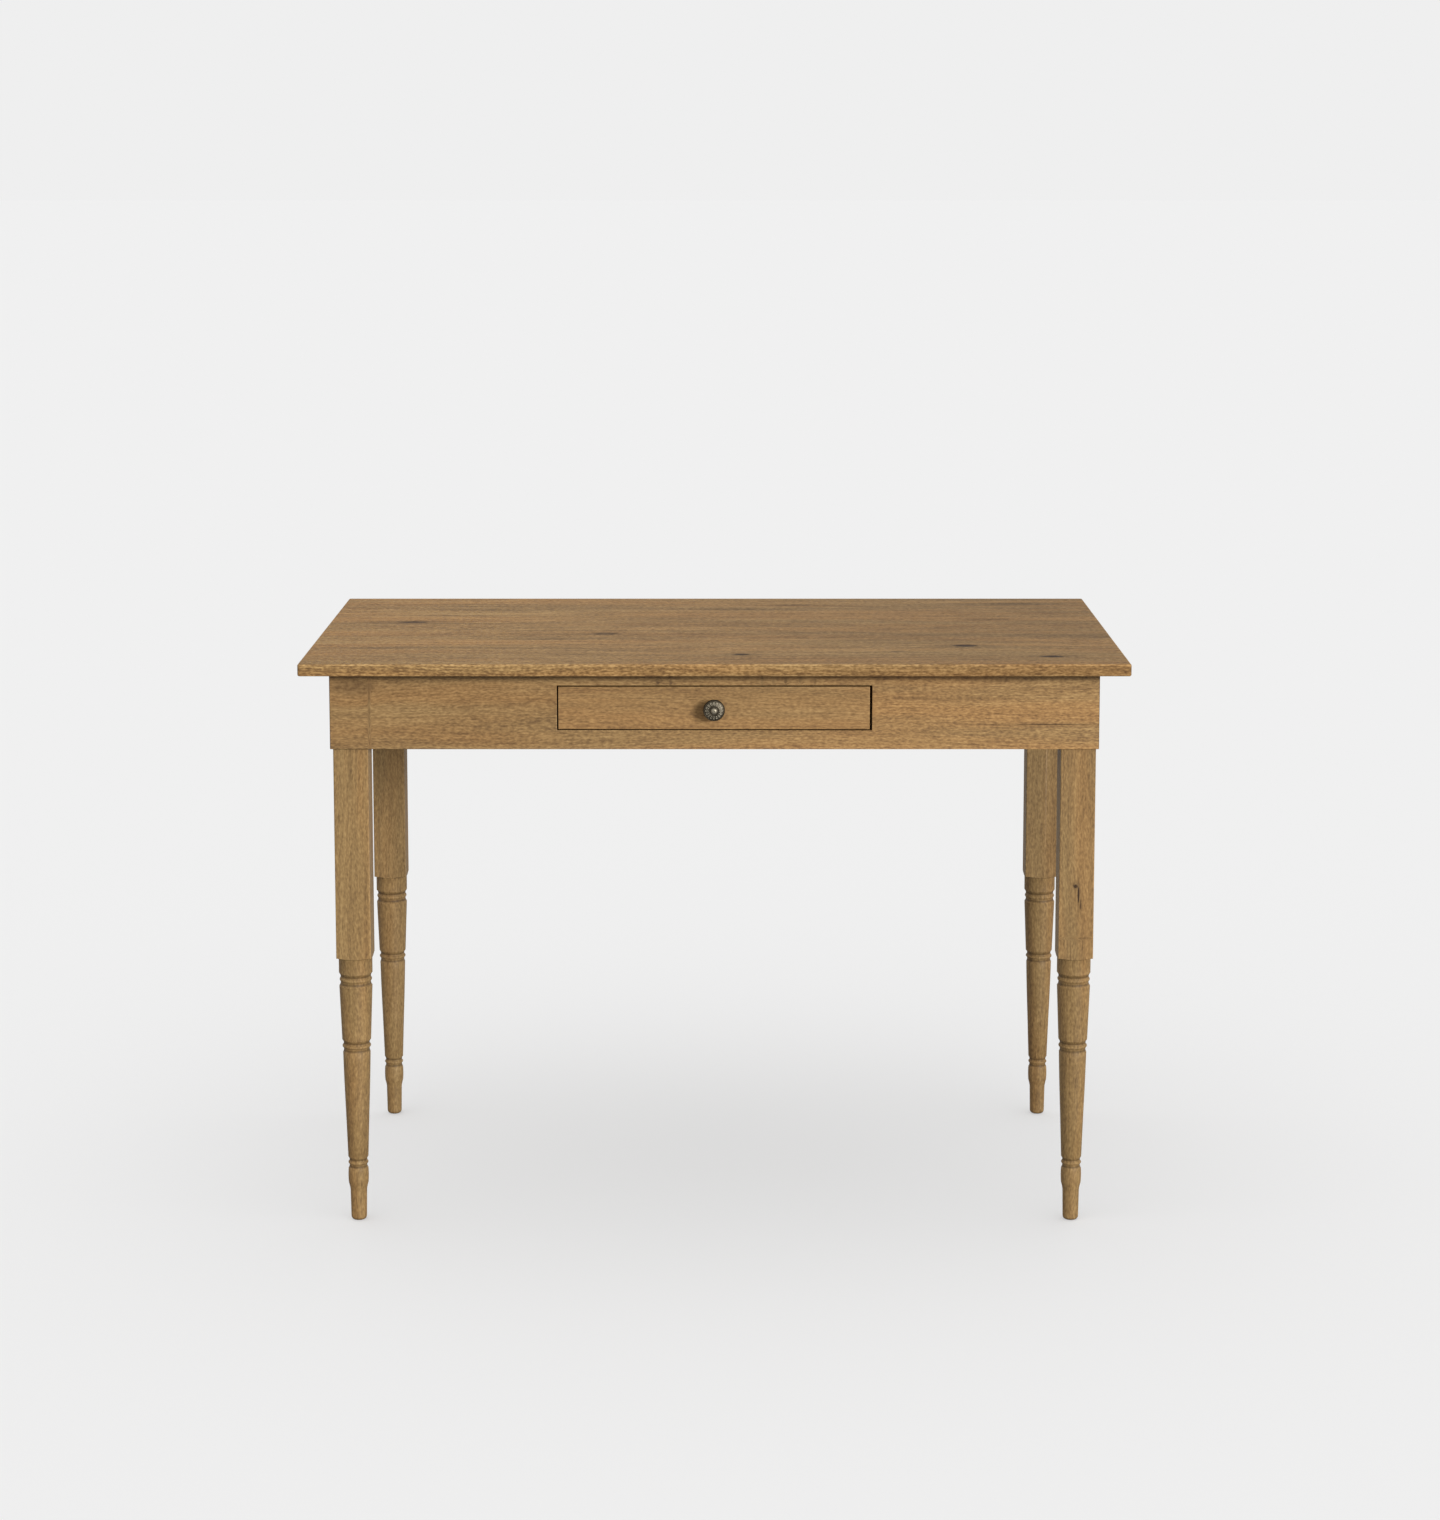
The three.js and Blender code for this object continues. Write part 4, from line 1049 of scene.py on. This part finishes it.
OLD_BRONZE = metal_material("old bronze", colour=(0.033, 0.0245, 0.0145, 1),
                            worn_colour=(0.39, 0.345, 0.26, 1), roughness=0.5, cloud_scale=900)
ZINC = metal_material("zinc plate", colour=(0.42, 0.42, 0.4, 1), worn_colour=(0.6, 0.6, 0.58, 1),
                      roughness=0.38, cloud_scale=400)

# %% [markdown]
# ## The rosette knob
# The knob is one casting: a flared foot, a slim neck and a broad head with a dark rim, a ring of
# scooped petals and a boss. The body is turned on the lathe tree. Petals cut into the body with
# booleans would be slow and ragged, so one petal is shaped from given levels, and a second tree
# sets copies of it round the head, sunk a little into it.


# %% Ring of copies
def make_ring_tree():
    tree, given, result = group_tree(
        "ring of copies", "GeometryNodeTree",
        [("Geometry", "Geometry", None), ("Copied", "Object", None), ("Count", "Int", 16),
         ("Ring Radius", "Float", 0.009), ("Height", "Float", 0.02), ("Tilt", "Float", 0.2),
         ("Material", "Material", None)],
        [("Geometry", "Geometry")])
    flat_ring = put(tree, "GeometryNodeMeshCircle", {"Vertices": given["Count"],
                                                     "Radius": given["Ring Radius"]})
    lift = put(tree, "ShaderNodeCombineXYZ", {"Z": given["Height"]})
    raised = put(tree, "GeometryNodeSetPosition", {"Geometry": flat_ring.outputs[0],
                                                   "Offset": lift.outputs[0]})
    copied = put(tree, "GeometryNodeObjectInfo", {"Object": given["Copied"]}).outputs["Geometry"]
    index = put(tree, "GeometryNodeInputIndex").outputs[0]
    angle = sums(tree, "MULTIPLY", sums(tree, "DIVIDE", index, given["Count"]), 2 * math.pi)
    turns = put(tree, "ShaderNodeCombineXYZ", {"Y": given["Tilt"], "Z": angle})
    rotation = put(tree, "FunctionNodeEulerToRotation", {0: turns.outputs[0]})
    copies = put(tree, "GeometryNodeInstanceOnPoints", {"Points": raised.outputs[0], "Instance": copied,
                                                        "Rotation": rotation.outputs[0]})
    return close_tree(tree, copies.outputs[0], given, result)


RING = make_ring_tree()
print(f"ring of copies: {len(RING.nodes)} nodes")

# %% One petal
PETAL_STEPS = 14
PETAL_SPREAD = 0.3  # how much wider a petal is at the rim than half way in
PETAL_LEVELS = [  # share of the outline, share of the height, wear
    (1.0, -0.6, 0.0), (0.96, 0.35, 0.4), (0.78, 1.0, 1.0), (0.55, 0.62, 0.5), (0.25, 0.25, 0.1),
]


def petal_object(length, width, height):
    """A petal along +X: a raised lip round a scooped middle, narrower towards the boss."""
    bm = bmesh.new()
    arris_layer = bm.verts.layers.float.new("arris")
    steps = PETAL_STEPS
    rings = []
    for share, lift, wear in PETAL_LEVELS:
        ring = []
        for i in range(steps):
            turn = 2 * math.pi * i / steps
            x = length / 2 * share * math.cos(turn)
            y = width / 2 * share * math.sin(turn) * (1 + PETAL_SPREAD * math.cos(turn))
            vert = bm.verts.new((x * MM, y * MM, lift * height * MM))
            vert[arris_layer] = wear
            ring.append(vert)
        rings.append(ring)
    bm.faces.new(rings[0])
    bm.faces.new(rings[-1])
    for below, above in zip(rings, rings[1:]):
        for i in range(steps):
            bm.faces.new((below[i - 1], below[i], above[i], above[i - 1]))
    bmesh.ops.recalc_face_normals(bm, faces=bm.faces)
    for face in bm.faces:
        face.smooth = True
    return mesh_object("petal", bm)


# %% Knob
KNOB_RADIUS = 14.5
KNOB_SIDES = 64
PETALS = 16
PETAL_RING = 9.1 * MM
PETAL_LEVEL = 21.45 * MM
HEAD_SLOPE = math.atan2(2.1, 5.6)  # from the rim in to the boss
BOSS_RADIUS = 4.4 * MM
BOSS_FOOT = 22.5 * MM
BOSS_DIMPLE = 1.0 * MM


def knob_outline():
    """The knob from its foot out to its boss, in millimetres."""
    outline = Outline(0, 0.3).line((8.5, 0.3), (8.5, 1.8)).bend((5, 3), (5, 7))  # foot and neck
    outline.bend((5.5, 12), (KNOB_RADIUS - 1, 14.5))
    outline.bend((KNOB_RADIUS + 0.6, 17), (KNOB_RADIUS - 1.2, 20.4))  # head
    outline.bend((12.9, 20.9), (12.4, 20.2), 4).line((6.8, 22.3))  # rim and slope
    outline.bend((6.2, 22.6), (5.6, 21.9), 4).bend((5.2, 21.4), (4.6, 21.9), 4)  # groove
    return outline.bend((4.5, 25.6), (1.3, 25.95)).bend((0.9, 25.6), (0, 25.2), 4)  # boss


body = turned_piece("knob_body", knob_outline(), KNOB_SIDES, OLD_BRONZE)
petal = petal_object(length=5.0, width=3.0, height=1.1)
petals = run_tree("knob_petals", RING, {"Copied": petal, "Count": PETALS, "Ring Radius": PETAL_RING,
                                        "Height": PETAL_LEVEL, "Tilt": HEAD_SLOPE,
                                        "Material": OLD_BRONZE})
discard(petal)

knob_low, knob_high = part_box("drawer_knob")
knob_place = (knob_low + knob_high) / 2
knob_place.y = knob_high.y + GAP
bm = bmesh.new()
for part in (body, petals):
    bm.from_mesh(part.data)
discard(body, petals)
arris_layer = bm.verts.layers.float["arris"]
for vert in bm.verts:
    out = math.hypot(vert.co.x, vert.co.y)
    if out < BOSS_RADIUS and vert.co.z > BOSS_FOOT:
        vert[arris_layer] = 0.7 if out > BOSS_DIMPLE else 0.1
bm.transform(Matrix.Translation(knob_place) @ Matrix.Rotation(math.pi / 2, 4, "X"))
finished("rosette_knob", bm, OLD_BRONZE, ["drawer_knob"])

# %% [markdown]
# ## Screws, bolts, washers and nuts
# Sixteen countersunk screws and four hanger bolts hold the desk together. Each kind is turned
# once. Copies could be placed one by one in the script. A third tree does it instead: it reads a
# cloud of points, each with the way its head faces, and gives every screw its own twist, because
# nobody lines up screw heads inside a desk.


# %% Fixings tree
def make_fixings_tree():
    tree, given, result = group_tree(
        "fixings", "GeometryNodeTree",
        [("Geometry", "Geometry", None), ("Pattern", "Object", None), ("Places", "Object", None),
         ("Twist", "Float", 0.0), ("Seed", "Int", 4), ("Material", "Material", None)],
        [("Geometry", "Geometry")])
    pattern = put(tree, "GeometryNodeObjectInfo", {"Object": given["Pattern"]}).outputs["Geometry"]
    places = put(tree, "GeometryNodeObjectInfo", {"Object": given["Places"]}).outputs["Geometry"]
    facing = put(tree, "GeometryNodeInputNamedAttribute", {"Name": "facing"}, data_type="FLOAT_VECTOR")
    aimed = put(tree, "FunctionNodeAlignRotationToVector", {"Vector": facing.outputs[0]}, axis="Z")
    chance = put(tree, "FunctionNodeRandomValue", {"Seed": given["Seed"]}, data_type="FLOAT")
    spin = put(tree, "FunctionNodeAxisAngleToRotation", {
        "Axis": (0, 0, 1), "Angle": sums(tree, "MULTIPLY", chance.outputs["Value"], given["Twist"])})
    rotated = put(tree, "FunctionNodeRotateRotation", {"Rotation": aimed.outputs[0],
                                                       "Rotate By": spin.outputs[0]}, rotation_space="LOCAL")
    copies = put(tree, "GeometryNodeInstanceOnPoints", {"Points": places, "Instance": pattern,
                                                        "Rotation": rotated.outputs[0]})
    return close_tree(tree, copies.outputs[0], given, result)


FIXINGS = make_fixings_tree()
print(f"fixings: {len(FIXINGS.nodes)} nodes")


def places_object(name, rows):
    """Points given as (place, way) rows, each way kept as the attribute facing."""
    mesh = bpy.data.meshes.new(name)
    mesh.from_pydata([place for place, _ in rows], [], [])
    facing = mesh.attributes.new("facing", "FLOAT_VECTOR", "POINT")
    for entry, (_, way) in zip(facing.data, rows):
        entry.vector = way
    return placed(name, mesh)


# %% Screws
RECESS_HALF_WIDTH = 0.45
SCREW_SIDES = 16


def cross_recess(reach, bottom, top):
    """A cutter with a cross for its outline, in millimetres."""
    half = RECESS_HALF_WIDTH
    quarter = [(half, half), (half, reach), (-half, reach)]
    outline = []
    for turn in range(4):
        cosine, sine = (1, 0, -1, 0)[turn], (0, 1, 0, -1)[turn]
        outline += [((x * cosine - y * sine) * MM, (x * sine + y * cosine) * MM) for x, y in quarter]
    bm = bmesh.new()
    add_prism(bm, outline, bottom * MM, top * MM)
    return bm


def screw_pattern(length):
    """A countersunk screw, head up at height 0, with a cross recess cut in its head."""
    outline = Outline(0, -length).line((2, -length + 5), (2, -2.6)).bend((2.2, -2.2), (4, -0.4), 3)
    outline.line((3.7, 0), (0, 0))
    screw = turned_piece("screw_pattern", outline, SCREW_SIDES, ZINC)
    return carve(screw, [cross_recess(2.2, -1.3, 1)])


def screw_place(node):
    """Where a measured screw's head is, which way it faces, and how long the screw is."""
    low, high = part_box(node)
    size = high - low
    axis = max(range(3), key=lambda i: size[i])
    points = [vert.co for vert in frame["nodes"][node].data.vertices]

    def width_at(end):
        across = [p[(axis + 1) % 3] for p in points if abs(p[axis] - end) < 0.5 * MM]
        return max(across) - min(across)

    head_is_low = width_at(low[axis]) > width_at(high[axis])
    place = (low + high) / 2
    place[axis] = low[axis] if head_is_low else high[axis]
    way = Vector((0, 0, 0))
    way[axis] = -1 if head_is_low else 1
    return place, way, round(size[axis] / MM)


# %% Placing the screws
screw_nodes = [name for name in sorted(frame["nodes"]) if "_screw" in name and name != "knob_screw"]
by_length = {}
for name in screw_nodes:
    place, way, length = screw_place(name)
    by_length.setdefault(length, []).append((place, way))
screw_parts = []
for length, rows in sorted(by_length.items()):
    pattern, places = screw_pattern(length), places_object("screw_places", rows)
    screw_parts.append(run_tree(f"screws_{length}", FIXINGS, {
        "Pattern": pattern, "Places": places, "Twist": math.pi, "Seed": length, "Material": ZINC}))
    discard(pattern, places)
    print(f"{len(rows)} screws of {length} mm")


def joined(parts):
    bm = bmesh.new()
    for part in parts:
        bm.from_mesh(part.data)
    discard(*parts)
    return bm


finished("wood_screws", joined(screw_parts), ZINC, screw_nodes)

# %% Bolts, washers and nuts
BOLT_RADIUS = 4
BOLT_SIDES = 24
THREADED = 20
THREAD_PITCH = 1.25
THREAD_ROOT = BOLT_RADIUS - 0.6
THREAD_CREST = BOLT_RADIUS - 0.05
SHANK = BOLT_RADIUS - 0.35
WASHER_RADIUS = 11
WASHER_BEVEL = 0.3
WASHER_SIDES = 40
NUT_ACROSS_FLATS = 13
BORE = 4.3


def bolt_pattern(length):
    """A hanger bolt from its hidden end up, with a machine thread on its last stretch."""
    plain = length - THREADED
    outline = Outline(0, 0).line((3, 0), (SHANK, 1), (SHANK, plain))
    for turn in range(int(THREADED / THREAD_PITCH) - 1):
        start = plain + turn * THREAD_PITCH
        outline.line((THREAD_CREST, start + THREAD_PITCH * 0.5), (THREAD_ROOT, start + THREAD_PITCH))
    outline.line((BOLT_RADIUS - 1, length), (0, length))
    return turned_piece("bolt_pattern", outline, BOLT_SIDES, ZINC)


def washer_pattern(thickness):
    flat = WASHER_RADIUS - WASHER_BEVEL
    outline = Outline(BORE, 0).line((flat, 0), (WASHER_RADIUS, WASHER_BEVEL),
                                    (WASHER_RADIUS, thickness - WASHER_BEVEL), (flat, thickness),
                                    (BORE, thickness), (BORE, 0))
    return turned_piece("washer_pattern", outline, WASHER_SIDES, ZINC)


def nut_pattern(thickness):
    """A hexagon nut: a hexagonal prism with a bore, and its edges eased."""
    bm = bmesh.new()
    add_prism(bm, circle(NUT_ACROSS_FLATS / math.sqrt(3) * MM, 6), 0, thickness * MM)
    bmesh.ops.recalc_face_normals(bm, faces=bm.faces)
    nut = mesh_object("nut_pattern", bm)
    hole = bmesh.new()
    add_prism(hole, circle(BORE * MM), -1 * MM, (thickness + 1) * MM)
    carve(nut, [hole])
    bm = bmesh.new()
    bm.from_mesh(nut.data)
    soften(bm, 0.5 * MM, 5 * MM, 2)
    bm.to_mesh(nut.data)
    bm.free()
    return nut


# %% Four of each, one at each corner
def set_of_four(kind, pattern_maker, name):
    """One piece made of four copies, each standing where the measured one does."""
    rows, nodes = [], [f"{corner}_leg_{kind}" for corner in CORNERS]
    for corner, node in zip(CORNERS, nodes):
        start, length, way = along_diagonal(node, corner)
        rows.append((start, way))
    pattern = pattern_maker(length / MM)
    places = places_object(kind + "_places", rows)
    made = run_tree(name, FIXINGS, {"Pattern": pattern, "Places": places, "Twist": 1.0, "Seed": 3,
                                    "Material": ZINC})
    discard(pattern, places)
    return adopt(made, ZINC, nodes)


set_of_four("bolt", bolt_pattern, "hanger_bolts")
set_of_four("washer", washer_pattern, "wide_washers")
set_of_four("nut", nut_pattern, "hexagon_nuts")

# %% Knob screw
screw_outline = Outline(0, -28).line((2, -28), (2, 0.3), (4.2, 0.3), (4.2, 2.3))
screw_outline.bend((3.9, 2.9), (0, 2.9), 5)
knob_screw = turned_piece("pan_head_screw", screw_outline, BOLT_SIDES, ZINC)
carve(knob_screw, [cross_recess(2, 1.7, 4)])
head_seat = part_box("drawer_front")[1].y
knob_screw.data.transform(Matrix.Translation((knob_place.x, head_seat, knob_place.z))
                          @ Matrix.Rotation(-math.pi / 2, 4, "X"))
adopt(knob_screw, ZINC, ["knob_screw"])
